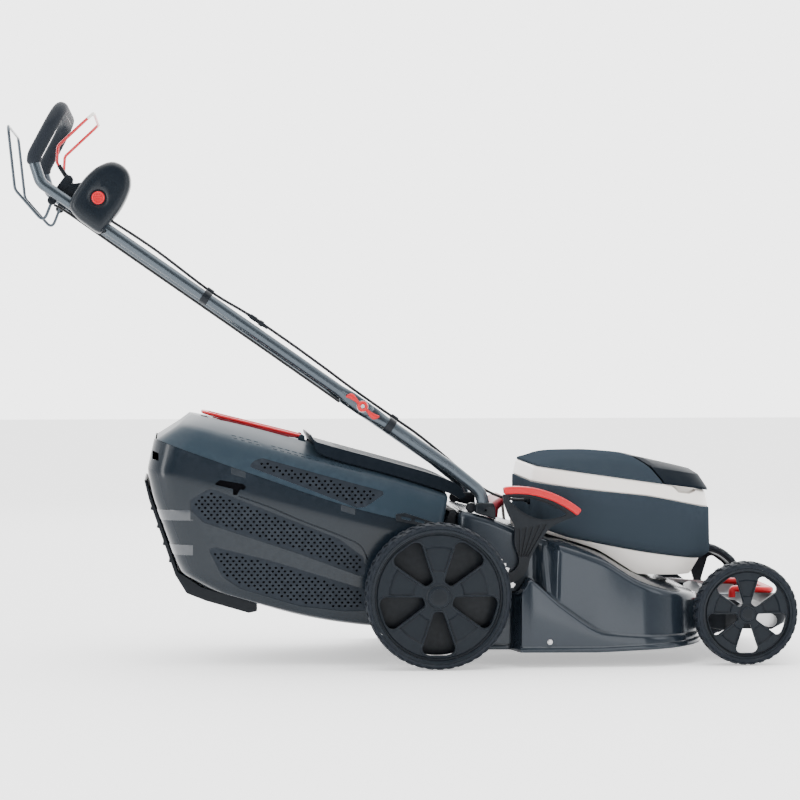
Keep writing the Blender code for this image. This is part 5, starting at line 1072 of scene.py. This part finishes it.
for side_name, side in SIDES:
    tub_hit, cover_hit = surface_reader(tub), surface_reader(cover)
    tub_side, groove_side = side_of(tub_hit, side, BOX_SIDE), side_of(tub_hit, side, HALF)
    tools = [vent(f"vent_{level_name}_{side_name}", outline, tub_hit, side)
             for level_name, outline in (("middle", MIDDLE_VENT), ("low", LOWER_VENT))]
    carve(cover, vent(f"vent_high_{side_name}", UPPER_VENT, cover_hit, side), 30.0)
    for tool in tools:
        carve(tub, tool, 30.0)
    carve(tub, plate(soft_corners(NOTCH, 0.0025), side * 0.15, side * 0.23), 30.0)
    # Near-black sheet in the notch's depth: painted shade
    back = new_piece(f"notch_shade_sheet_{side_name}", plate(soft_corners(NOTCH, 0.0025), 0.0, 0.0006), black_painted_shade,
                     "grass_box", smooth=40.0)
    follow(back, side, tub_side, 0.0055)
    groove = [(x, side * groove_side(x, z), z) for x, z in smooth_line(GROOVE, 5)]
    carve(tub, pipe(groove, even(0.0014), steps=8), 30.0)
    carve(tub, plate(mm((-542, 400), (-530, 396.5), (-530, 411), (-542, 416)), side * 0.14, side * 0.2), 30.0)
    slots = bmesh.new()
    for start, stop in (((-0.393, 0.44), (-0.336, 0.425)), ((-0.316, 0.418), (-0.222, 0.394)),
                        ((-0.204, 0.388), (-0.14, 0.37))):
        for width in (0.15, 0.159):
            count = round((stop[0] - start[0]) / 0.0135)
            for i in range(count):
                x = start[0] + (stop[0] - start[0]) * (i + 0.5) / count + (0.003 if width > 0.155 else 0.0)
                z = start[1] + (stop[1] - start[1]) * (i + 0.5) / count
                skin([[(x + a, side * width + b, z + c) for a, b in rectangle(-0.0042, 0.0042, -0.0011, 0.0011)]
                      for c in (-0.025, 0.025)], mesh=slots)
    carve(cover, slots, 30.0)
    for number, x in enumerate((-0.378, -0.168)):
        z = read_line(smooth_line(SEAM, 8), x)
        y = side * tub_side(x, z - 0.006)
        clip = plate([(x - 0.014, z - 0.0085), (x + 0.014, z - 0.017), (x + 0.014, z - 0.004),
                      (x - 0.014, z + 0.0045)], y + side * 0.0007, y - side * 0.004)
        edge_round(new_piece(f"box_clip_{side_name}_{number + 1}", clip, box_gloss, "grass_box"), 0.0012, 2)

# Bands moulded round the tub's rear corners
tub_hit = surface_reader(tub)
for number, height in enumerate((0.293, 0.226)):
    rings = []
    for i in range(61):
        turn = math.radians(-97.0 + 194.0 * i / 60)
        heading = (-math.cos(turn), math.sin(turn), 0.0)
        ring = []
        for rise, grow in ((-0.0105, -0.0012), (-0.01, 0.0007), (-0.0085, 0.001), (0.0085, 0.001), (0.01, 0.0007),
                           (0.0105, -0.0012)):
            centre = (-0.47, math.sin(turn) * 0.15)
            start = (centre[0] - 0.3 * math.cos(turn), centre[1] + 0.3 * math.sin(turn), height + rise)
            place = tub_hit(start, (math.cos(turn), -math.sin(turn), 0.0)) or Vector((*centre, height + rise))
            ring.append((place.x + heading[0] * grow, place.y + heading[1] * grow, height + rise))
        rings.append(ring)
    new_piece(f"box_band_{number + 1}", skin(rings), band_grey, "grass_box", smooth=30.0)

# Skid down the box's rear, with cross ribs
skid = mm((-558.5, 357), (-549, 318), (-499, 172), (-477, 136), (-440, 121.2), (-356.5, 96.5), (-340.2, 100),
          (-340.2, 116.8), (-425, 141.8), (-447, 148.8), (-492.5, 178.8), (-543, 323.8), (-554, 356.8))
edge_round(new_piece("box_skid_dressed", plate(skid, -0.1195, 0.1195), black_plastic, "grass_box", ["box_skid"]),
           0.003)
ribs = bmesh.new()
for x, z in ((-0.544, 0.302), (-0.532, 0.267), (-0.5205, 0.2335), (-0.509, 0.2)):
    plate([(x - 0.0012, z + 0.003), (x - 0.0025, z - 0.003), (x + 0.006, z - 0.0055), (x + 0.006, z + 0.001)],
          -0.1185, 0.1185, mesh=ribs)
edge_round(new_piece("skid_ribs", ribs, black_plastic, "grass_box"), 0.001, 2)

# Carrying handle: a red strap that lies on the cover between two lugs
strap_corners = mm((-250, -48, 437), (-440, -48, 484.5), (-440, 48, 484.5), (-250, 48, 437))
strap_path = dense(rounded(strap_corners, [0.02, 0.02], 8), 0.008)
strap = pipe(strap_path, oval(0.0033, 0.0073), steps=24, power=0.7)
for y in (-0.048, 0.048):
    turned(mm((1.8, -7.3), (3.4, -7.3), (3.4, 7.3), (1.8, 7.3)), "Y", (-0.25, y, 0.437), 24, True, mesh=strap)
new_piece("box_handle_dressed", strap, red, "box_handle", ["box_handle"], 40.0)
for side_name, side in SIDES:
    lug = plate(mm((-260, 426.2), (-243, 421.7), (-245, 439), (-250, 441.8), (-255, 440)), side * 0.058, side * 0.0594)
    edge_round(new_piece(f"handle_lug_{side_name}", lug, box_cover, "grass_box"), 0.0008, 2)

# Hood: cream shell, slate band round it, slate cap and the glossy battery flap
FOOT = smooth_line(mm((157, 272), (211, 253), (294, 228), (331, 213.5), (386, 179), (410, 169.5), (530, 167.5)))
BAND_LOW = smooth_line(mm((157, 280), (211, 261), (262, 243), (300, 235), (385, 218), (459, 206.5), (530, 198.5)))
BAND_TOP = smooth_line(mm((154, 359), (188, 354.1), (286, 340), (384, 329), (423, 324.5), (473, 315), (527, 304),
                          (552, 300)))
CAP = mm((100, 396.5), (600, 324))
CAP_SHOULDER = smooth_line(mm((200, 390), (249, 394.5), (308, 394), (400, 385.5), (430, 378.5), (533, 362)))
CAP_CROWN = smooth_line(mm((205, 397), (249, 402.5), (308, 404), (348, 402.7), (408, 397), (448, 388), (524, 371)))
HOOD_HALF = 0.168


def hood_rings(*levels, rear=0.035, front=0.05):
    """Rings of the hood, each from its rear and front X, its distance inwards, its line and its lift."""
    return [at_height(plan(x0, x1, HOOD_HALF - inward, rear, front, 10, 22), line, *lift)
            for x0, x1, inward, line, *lift in levels]


hood_levels = hood_rings((0.202, 0.5145, 0.018, FOOT), (0.198, 0.5305, 0.008, BAND_LOW, -0.0005),
                         (0.2015, 0.527, 0.0112, BAND_LOW, 0.001), (0.197, 0.546, 0.0045, BAND_LOW, 0.014),
                         (0.197, 0.544, 0.0045, BAND_TOP, -0.0015), (0.1935, 0.547, 0.0015, BAND_TOP, 0.0005),
                         (0.198, 0.542, 0.008, CAP, -0.004), (0.202, 0.538, 0.012, CAP))
hood = shell("hood_cream", hood_levels, 0.12, cream, "mower", "hood_shell", 30.0, 0.003)
carve(hood, plate(rectangle(0.458, 0.522, 0.31, 0.38), -0.075, 0.075), 30.0)
low_rings = hood_rings((0.1945, 0.534, 0.0045, BAND_LOW, 0.0008), (0.1932, 0.542, 0.002, BAND_LOW, 0.0075),
                       (0.1922, 0.549, 0.0003, BAND_LOW, 0.0135), (0.192, 0.5505, 0.0, BAND_LOW, 0.02))
top_rings = hood_rings((0.192, 0.5487, 0.0, BAND_TOP, -0.004), (0.1928, 0.5479, 0.0008, BAND_TOP, -0.002))
band_mesh = skin(low_rings + [between(low_rings[-1], top_rings[0], 0.5)] + top_rings, caps=False)
wall(new_piece("hood_slate_band", band_mesh, hood_slate, "mower", ["hood_band"], 40.0), 0.003)
under_cap = plate([(x, z + 0.0003) for x, z in CAP] + mm((600, 200), (100, 200)), -0.2, 0.2)
cap_levels = hood_rings((0.201, 0.452, 0.01, CAP, -0.003), (0.2, 0.449, 0.009, CAP, 0.005),
                        (0.212, 0.428, 0.034, CAP_SHOULDER), (0.228, 0.4, 0.074, CAP_CROWN), front=0.004)
cap_levels += hood_rings((0.248, 0.396, 0.12, CAP_CROWN, 0.001), rear=0.03, front=0.004)
cap = shell("hood_cap", cap_levels, 0.28, hood_slate, "mower", "hood_top", 35.0, 0.0025)
carve(cap, under_cap.copy(), 35.0)
flap_levels = hood_rings((0.455, 0.548, 0.01, CAP, -0.003), (0.452, 0.546, 0.009, CAP, 0.005),
                         (0.431, 0.533, 0.034, CAP_SHOULDER), (0.403, 0.522, 0.074, CAP_CROWN), rear=0.004, front=0.045)
flap = shell("battery_flap_glossy", flap_levels, 0.05, flap_black, "battery_flap", "battery_flap", 18.0, 0.0025)
carve(flap, under_cap, 18.0)

# Finger recess in the hood under the flap's lip, on both sides
RECESS_MIDDLE = Vector((0.495, 0.3345))
RECESS = [Vector(p) for p in soft_corners(mm((465, 344), (517.5, 337), (516, 331), (502.1, 326.2), (480, 329)), 0.004)]
for side_name, side in SIDES:
    hood_side = side_of(surface_reader(hood), side, HOOD_SIDE)
    dish = []
    for share, depth in ((1.0, 0.0002), (0.97, 0.004), (0.9, 0.0065), (0.7, 0.0078)):
        loop = [RECESS_MIDDLE + (p - RECESS_MIDDLE) * share for p in RECESS]
        dish.append([(x, side * (hood_side(*p) - depth), z) for (x, z), p in zip(loop, RECESS)])
    cup = skin(dish, caps=False)
    cup.verts.ensure_lookup_table()
    cup.faces.new([cup.verts[len(RECESS) * 3 + k] for k in range(len(RECESS))])
    carve(hood, plate([tuple(RECESS_MIDDLE + (p - RECESS_MIDDLE) * 0.99) for p in RECESS], side * 0.14, side * 0.18),
          30.0)
    # The recess takes the darker cream: painted shade
    wall(new_piece(f"finger_recess_{side_name}", cup, cream_painted_shade, "mower", smooth=50.0), 0.0008)

# Battery bay, pack and key under the flap
dock = new_piece("battery_bay", plate(mm((455.5, 213), (524.5, 213), (524.5, 332), (455.5, 342.5)), -0.0775, 0.0775),
                 black_plastic, "mower", ["battery_dock"])
carve(dock, plate(rectangle(0.4583, 0.5217, 0.2155, 0.38), -0.0747, 0.0747), 30.0)
pack = new_piece("battery_block", plate(rectangle(0.459, 0.521, 0.2158, 0.352), -0.074, 0.074), switch_plastic,
                 "mower", ["battery_pack"])
pack_tools = bmesh.new()
for y in (-0.045, -0.03, 0.03, 0.045):
    plate(rectangle(0.452, 0.528, 0.349, 0.36), y - 0.0015, y + 0.0015, mesh=pack_tools)
plate(soft_corners(rectangle(0.474, 0.506, 0.343, 0.36), 0.003), -0.018, 0.018, mesh=pack_tools)
edge_round(carve(pack, pack_tools, 30.0), 0.0015, 2)
grab = pipe(mm((490, -17.8, 348.8), (490, 17.8, 348.8)), even(0.0028), side=UP, steps=12)
new_piece("battery_grab", grab, red, "mower", smooth=40.0)
KEY_X, KEY_Y = 0.478, 0.112
key_height = read_line(CAP, KEY_X) + 0.0022
key = turned(mm((0, 0), (9.8, 0), (10, 0.4), (10, 3.4), (9.4, 4.2), (7.5, 4.6), (7, 6), (0, 6)), "Z",
             (KEY_X, KEY_Y, key_height), 32)
new_piece("key_round", key, red, "safety_key", ["safety_key"], 35.0)
wing_line = [(x, z + key_height) for x, z in mm((467.2, 4.5), (488.8, 4.5), (487.5, 10.9), (468.5, 10.9))]
wing = plate(soft_corners(wing_line, 0.002), KEY_Y - 0.0024, KEY_Y + 0.0024)
edge_round(new_piece("key_wing", wing, red, "safety_key"), 0.001, 2)

# Height lever with its boat-shaped window, ribbed stem and red grip
HEAD, PIVOT, PIVOT_BORE = (0.1534, 0.1432), (0.062, 0.137), 0.0062
LEVER_BACK, LEVER_THICK = -0.1935, 0.0105
LEVER_FRONT = LEVER_BACK - LEVER_THICK
lever_outline = arc(HEAD, 0.188, 50, 97, 18)
lever_outline += smooth_line([lever_outline[-1], (0.131, 0.318), (0.141, 0.29), (0.1525, 0.268), (0.1525, 0.235),
                              (0.161, 0.207), (0.157, 0.19), (0.14, 0.178), (0.057, 0.15)], 5)[1:-1]
lever_outline += arc(PIVOT, 0.014, 110, 292, 14)
lever_outline += smooth_line([lever_outline[-1], (0.146, 0.159), (0.168, 0.171), (0.179, 0.19), (0.184, 0.208),
                              (0.203, 0.24), (0.221, 0.264), (0.249, 0.279), lever_outline[0]], 5)[1:-1]
lever = new_piece("lever_body", plate(lever_outline, LEVER_FRONT, LEVER_BACK), black_plastic, "rear_arms",
                  ["height_lever"])
window = smooth_line(mm((140, 323.5), (170, 324.5), (200, 318.5), (230, 306.5), (253, 292.5), (240, 285),
                        (215, 280.5), (190, 284.5), (162, 299)), 6, True)
carve(lever, plate(window, LEVER_FRONT - 0.01, -0.18), 30.0)
bore = [(0.0, -0.01), (PIVOT_BORE, -0.01), (PIVOT_BORE, LEVER_THICK + 0.01), (0.0, LEVER_THICK + 0.01)]
carve(lever, turned(bore, "Y", (PIVOT[0], LEVER_FRONT, PIVOT[1]), 24), 30.0)
pockets = bmesh.new()
for k in range(5):
    low_x, high_x = 0.159 + 0.0042 * k, 0.1545 + 0.013 * k
    top = 0.264 + 0.002 * k
    pocket = [(low_x, 0.21), (low_x + 0.003, 0.21), (high_x + 0.0085, top), (high_x, top)]
    plate(soft_corners(pocket, 0.0009, 2), LEVER_FRONT - 0.001, LEVER_FRONT + 0.003, mesh=pockets)
edge_round(carve(lever, pockets, 30.0), 0.0009, 2, 40.0)
rim = pipe([(x, LEVER_FRONT - 0.0002, z) for x, z in window + window[:1]], even(0.0013), steps=8)
new_piece("lever_window_rim", rim, black_plastic, "rear_arms", smooth=50.0)
grip = plate(arc(HEAD, 0.1883, 96.6, 50.4, 24) + arc(HEAD, 0.2028, 50.4, 96.6, 24), LEVER_FRONT - 0.0098, -0.193)
edge_round(new_piece("lever_grip_red", grip, red, "rear_arms", ["lever_grip"]), 0.0042, 4)

# Rear flap: a hollow cover over the chute, with a turned-up lip
flap_top = smooth_line(mm((64, 323), (60, 330), (50, 345), (8, 364), (-70, 387), (-205, 424), (-229, 433),
                          (-236, 444)), 5)
flap_low = smooth_line(mm((-238, 443), (-233, 431), (-210, 403), (-70, 362.5), (30, 330), (52, 318)), 5)
chute_flap = new_piece("chute_flap", plate(flap_top + flap_low, -0.149, 0.149), flap_black, "rear_flap", ["rear_flap"])
carve(chute_flap, plate(mm((44, 344), (6, 361), (-70, 384), (-205, 421), (-230, 429.5), (-250, 390), (-70, 300),
                           (44, 300)), -0.146, 0.146), 30.0)
edge_round(chute_flap, 0.0009, 2, 30.0)
for side_name, side in SIDES:
    bead = pipe([(x, side * 0.1478, z - 0.0055) for x, z in flap_top[6:-6]], even(0.0011), steps=8)
    new_piece(f"flap_bead_{side_name}", bead, flap_black, "rear_flap", smooth=50.0)
ribs = bmesh.new()
for y in (-0.098, -0.049, 0.0, 0.049, 0.098):
    run = [(x, z) for x, z in flap_top if -0.2 < x < 0.03]
    plate([(x, z + 0.0004) for x, z in run] + [(x, z - 0.002) for x, z in reversed(run)], y - 0.0012, y + 0.0012,
          mesh=ribs)
edge_round(new_piece("flap_ribs", ribs, flap_black, "rear_flap"), 0.0004, 1)

# Deck: pressed steel with a rolled rim, a ledge and a pocket for the lever
REAR_X, FRONT_X, NARROW, SKIRT_WIDE, WALL_WIDE, CORNER = 0.045, 0.53, 0.19, 0.241, 0.235, 0.13
SHOULDER = smooth_line(mm((45, 300), (105, 284), (157, 263), (211, 244), (294, 216), (331, 201), (386, 167),
                          (437, 149), (489, 138), (530, 131)), 6)
CREASE = smooth_line(mm((45, 140), (145, 140), (160, 143), (172, 158), (184, 165.5), (236, 121), (300, 76), (335, 64),
                        (411, 58), (530, 57)), 6)
DECK_RIM = mm((45, 30), (314, 28), (530, 37))
# The motor's round seat in the deck's roof, and the roof's rise towards it
SEAT_R, SEAT_Z, SHAFT_HOLE, CUT_X, ROOF_SWELL = 0.092, 0.212, 0.022, 0.29, 0.009


def deck_edge(wide, bend, low, high):
    """Right half of the deck's outline from the rear's middle to the front's middle, mirrored to the left."""
    half = [(REAR_X, 0.0), (REAR_X, 0.06), (REAR_X, 0.12)]
    half += [(REAR_X + bend + px, NARROW - bend + py) for px, py in arc((0, 0), bend, 180, 90, 5)]
    x = 0.075
    while x < FRONT_X - CORNER - 0.002:
        half.append((x, NARROW + (wide - NARROW) * ease(x, low, high)))
        x += 0.0045 if 0.13 < x < 0.26 else 0.015
    half += [(FRONT_X - CORNER + px, wide - CORNER + py) for px, py in arc((0, 0), CORNER, 90, 0, 20)]
    half.append((FRONT_X, 0.0))
    return half + [(x, -y) for x, y in reversed(half[1:-1])]


def drawn_in(outline, distance):
    """Outline moved inwards; beside the pocket's steep step it moves sideways only, so that it can't cross itself."""
    moved = []
    for i, (x, y) in enumerate(outline):
        heading = (Vector(outline[(i + 1) % len(outline)]) - Vector(outline[i - 1])).normalized()
        if distance > 0.007 and 0.1 < x < 0.3:
            heading = Vector((math.copysign(1.0, y), 0.0))
        moved.append((x + heading.y * distance, y - heading.x * distance))
    return moved


skirt = deck_edge(SKIRT_WIDE, 0.006, 0.145, 0.163)
upper_wall = deck_edge(WALL_WIDE, 0.017, 0.2135, 0.236)
ledge_wall = deck_edge(WALL_WIDE, 0.017, 0.193, 0.214)
roof = drawn_in(upper_wall, 0.014)
seat = [(CUT_X + d.x * SEAT_R, d.y * SEAT_R) for d in (Vector((x - CUT_X, y)).normalized() for x, y in upper_wall)]
hole = [(CUT_X + (x - CUT_X) * SHAFT_HOLE / SEAT_R, y * SHAFT_HOLE / SEAT_R) for x, y in seat]
roof_rings = []
for share in (0.0, 0.25, 0.5, 0.75):
    swell = ROOF_SWELL * math.sin(math.pi * min(1.0, share * 1.2))
    roof_rings.append([(x, y, z + swell * min(1.0, max(0.0, (x - 0.15) / 0.1))
                        + (SEAT_Z - z) * max(0.0, share - 0.5) * 1.2)
                       for x, y, z in at_height(between(roof, seat, share), SHOULDER)])
# Each level of the wall: its outline, the distance inwards, its line and its lift
WALL_LEVELS = (
    (skirt, 0.0005, DECK_RIM, 0.0012), (skirt, -0.002, DECK_RIM, 0.0), (skirt, -0.003, DECK_RIM, 0.002),
    (skirt, -0.003, DECK_RIM, 0.007), (skirt, -0.0018, DECK_RIM, 0.0095), (skirt, 0.0002, DECK_RIM, 0.0112),
    (skirt, 0.0006, CREASE, -0.0075), (skirt, 0.0012, CREASE, -0.003), (skirt, 0.003, CREASE, -0.0002),
    (skirt, 0.0048, CREASE, 0.001), (ledge_wall, -0.001, CREASE, 0.0014), (ledge_wall, 0.0, CREASE, 0.0022),
    (ledge_wall, 0.0005, CREASE, 0.006), (upper_wall, 0.0018, SHOULDER, -0.015),
    (upper_wall, 0.0024, SHOULDER, -0.011), (upper_wall, 0.0042, SHOULDER, -0.006),
    (upper_wall, 0.0075, SHOULDER, -0.0022))
deck_rings = [at_height(drawn_in(outline, inward), line, lift) for outline, inward, line, lift in WALL_LEVELS]
deck_rings += roof_rings + [[(x, y, SEAT_Z) for x, y in ring] for ring in (seat, hole)]
deck = wall(new_piece("deck_pressing", skin(deck_rings, caps=False), deck_paint, "mower", ["deck", "deck_nose"],
                      40.0), 0.002)
deck_tools = plate(rectangle(0.025, 0.065, 0.194, 0.28), -0.15, 0.15)
for corners in ((0.136, 0.262, 0.13, 0.171), (0.455, 0.535, 0.11, 0.141)):
    plate(soft_corners(rectangle(*corners), 0.008), 0.19, 0.205, mesh=deck_tools)
carve(deck, deck_tools, 40.0)

# Blade guard screws through the skirt, on washers
SKIRT_SCREW = mm((0, -3.5), (5.2, -3.5), (5.2, 0), (5, 0.7), (3.4, 1), (3.4, 2), (2.6, 2.8), (0, 3.1))
for side_name, side in SIDES:
    screw = turned(facing(side, SKIRT_SCREW), "Y", (0.2162, side * (SKIRT_WIDE + 0.0001), 0.049), 24)
    new_piece(f"skirt_screw_{side_name}", screw, steel, "mower")

# Front cover over the axle, with the trim edges that show through the wheels
cover_profile = mm((534.5, 60), (600, 64), (662, 62), (690, 74), (700, 94), (702, 118), (694, 120), (676, 98),
                   (652, 94), (626, 94), (596, 114), (575, 120), (534.5, 123))
# The cover's rear corners slant: where that starts, and how far back it goes
TAPER_X, TAPER_LENGTH = 0.6, 0.0655
cover_rows = []
for y, shrink in ((-0.18, 0.01), (-0.179, 0.006), (-0.174, 0.002), (-0.168, 0.0), (-0.13, 0.0), (-0.06, 0.0),
                  (0.06, 0.0), (0.13, 0.0), (0.168, 0.0), (0.174, 0.002), (0.179, 0.006), (0.18, 0.01)):
    row = []
    for x, z in soft_corners(cover_profile, 0.0035, 3):
        back = max(0.0, (TAPER_X - x) / TAPER_LENGTH)
        taper = 0.55 * TAPER_LENGTH * max(0.0, abs(y) - 0.1) / 0.08 * back
        row.append((x + taper - (shrink if x > 0.68 else 0.0), y, z))
    cover_rows.append(row)
front = new_piece("front_shroud", skin(cover_rows), shroud_grey, "mower", ["front_cover"], 35.0)
front_tools = turned(mm((0, -200), (7.3, -200), (7.3, 200), (0, 200)), "Y", (0.658, 0.0, 0.08), 24)
for k in range(-4, 5):
    y = 0.03 * k
    plate(soft_corners(rectangle(0.692, 0.71, 0.078, 0.086), 0.002), y - 0.009, y + 0.009, mesh=front_tools)
edge_round(carve(front, front_tools, 35.0), 0.0008, 2, 40.0)
grip_path = dense(rounded(mm((604, -85, 116), (604, -85, 133), (682, -85, 129), (682, 85, 129), (604, 85, 133),
                             (604, 85, 116)), [0.01, 0.022, 0.022, 0.01], 8), 0.008)
new_piece("front_grip_red", pipe(grip_path, oval(0.0065, 0.01), power=0.8), red, "mower", ["front_grip"], 40.0)
rear_path = dense(rounded(mm((128, -56, 277), (130, -56, 296), (138, -50, 301), (138, 50, 301), (130, 56, 296),
                             (128, 56, 277)), [0.006, 0.008, 0.008, 0.006], 6), 0.006)
# The rear grip takes the darker red: painted shade
new_piece("rear_grip_red", pipe(rear_path, oval(0.0095, 0.021), power=0.8), red_painted_shade, "mower", ["rear_grip"], 40.0)
for side_name, side in SIDES:
    # The struts take the darker cream: painted shade
    strut = plate(soft_corners(mm((163, 264), (169, 261), (165, 303), (159, 303)), 0.001), side * 0.06, side * 0.064)
    edge_round(new_piece(f"rear_grip_strut_{side_name}", strut, cream_painted_shade, "mower"), 0.0008, 2)

# Discharge chute with a flange round its mouth
chute = new_piece("chute_body", plate(mm((44.7, 196), (44.7, 297), (33, 297), (-13, 196)), -0.156, 0.156),
                  black_plastic, "mower", ["discharge_chute"])
edge_round(carve(chute, plate(rectangle(-0.1, 0.1, 0.199, 0.2935), -0.152, 0.152), 30.0), 0.001, 2)

# Height linkage: cranks, pivots, rack and link rod keep the plain steel shapes, with broken edges
for name in ("rear_crank_right", "rear_crank_left", "front_axle", "height_rod", "lever_rack", "crank_bolt_right",
             "crank_bolt_left", "blade", "handle_socket_right", "handle_socket_left"):
    edge_round(nodes[name], 0.0006, 2, 40.0)
for name in ("motor_housing", "drive_gearbox", "blade_carrier", "blade_bolt"):
    edge_round(nodes[name], 0.001, 2, 40.0)

# Skirt under the strap of the carrying handle: deeper in its middle, where the hand takes it; its darker red is painted
# shade under the strap
side_run = dense(mm((-425, 479.2), (-390, 470.5), (-340, 459), (-300, 449), (-260, 439.5)), 0.006)
for side_name, side in SIDES:
    rows = []
    for i, (x, z) in enumerate(side_run):
        share = i / (len(side_run) - 1)
        drop = 0.0062 * math.sin(math.pi * share ** 1.4) + 0.0004
        rows.append([(x, side * y, z - down) for y, down in (
            (0.0545, 0.002), (0.0553, 0.0028), (0.0553, 0.0032 + drop), (0.0545, 0.004 + drop), (0.0535, 0.0032 + drop),
            (0.0535, 0.002))])
    new_piece(f"strap_skirt_{side_name}", skin(rows), red_painted_shade, "box_handle", smooth=40.0)

# Silver edges of the front cover, seen through the wheels
FRONT_EDGE = mm((572, 121.2), (596.5, 115), (626, 95), (651.5, 95), (676.5, 99), (690, 118))
for side_name, side in SIDES:
    edge = dense([(x, side * 0.1765, z) for x, z in FRONT_EDGE])
    new_piece(f"front_trim_{side_name}", pipe(edge, even(0.0016), steps=10), silver_trim, "mower", smooth=60.0)

# Knobs on the tube sockets, cable gland and the motor's lead
for side_name, side in SIDES:
    y = side * 0.156
    knob = turned(mm((0, -6), (9, -6), (9.8, -5), (9.8, 5), (9, 6), (0, 6)), "Y", (0.0735, y, 0.302), 28)
    edge_round(new_piece(f"socket_knob_{side_name}", knob, black_plastic, "mower"), 0.0006, 2)
gland = turned(mm((3, 0), (8.5, 0), (9, -1), (9, -4), (7, -6), (5.2, -8), (5.2, -11), (3, -12)), "X",
               (0.1925, -0.126, 0.315), 24, True)
new_piece("hood_gland", gland, black_plastic, "mower", smooth=40.0)
lead = dense(rounded(mm((212, -148, 256), (226, -150, 267), (245, -150, 265), (260, -149, 254), (268, -146, 242)),
                     [0.012, 0.014, 0.014], 5), 0.004)
new_piece("motor_lead", pipe(lead, even(0.0033), steps=12), cable, "mower", smooth=60.0)

# Pads on the box's front corners, above the rear wheels
for side_name, side in SIDES:
    pad_edge = soft_corners(mm((-76, 280), (-5, 266), (-5, 277), (-58, 294.5), (-76, 292.5)), 0.0035)
    pad = new_piece(f"wheel_pad_{side_name}", plate(pad_edge, 0.0, 0.003), black_plastic, "grass_box", smooth=40.0)
    slots = bmesh.new()
    for x in (-0.056, -0.03):
        z = 0.285 - 0.2 * (x + 0.056)
        plate(soft_corners([(x - 0.0095, z - 0.0015), (x + 0.0095, z - 0.0055), (x + 0.0095, z - 0.0005),
                            (x - 0.0095, z + 0.004)], 0.0018), -0.002, 0.006, mesh=slots)
    carve(pad, slots, 40.0)
    tub_side, cover_side = (side_of(surface_reader(part), side, 0.0) for part in (tub, cover))
    follow(pad, side, lambda x, z: max(tub_side(x, z), cover_side(x, z)) or BOX_SIDE, -0.0018)
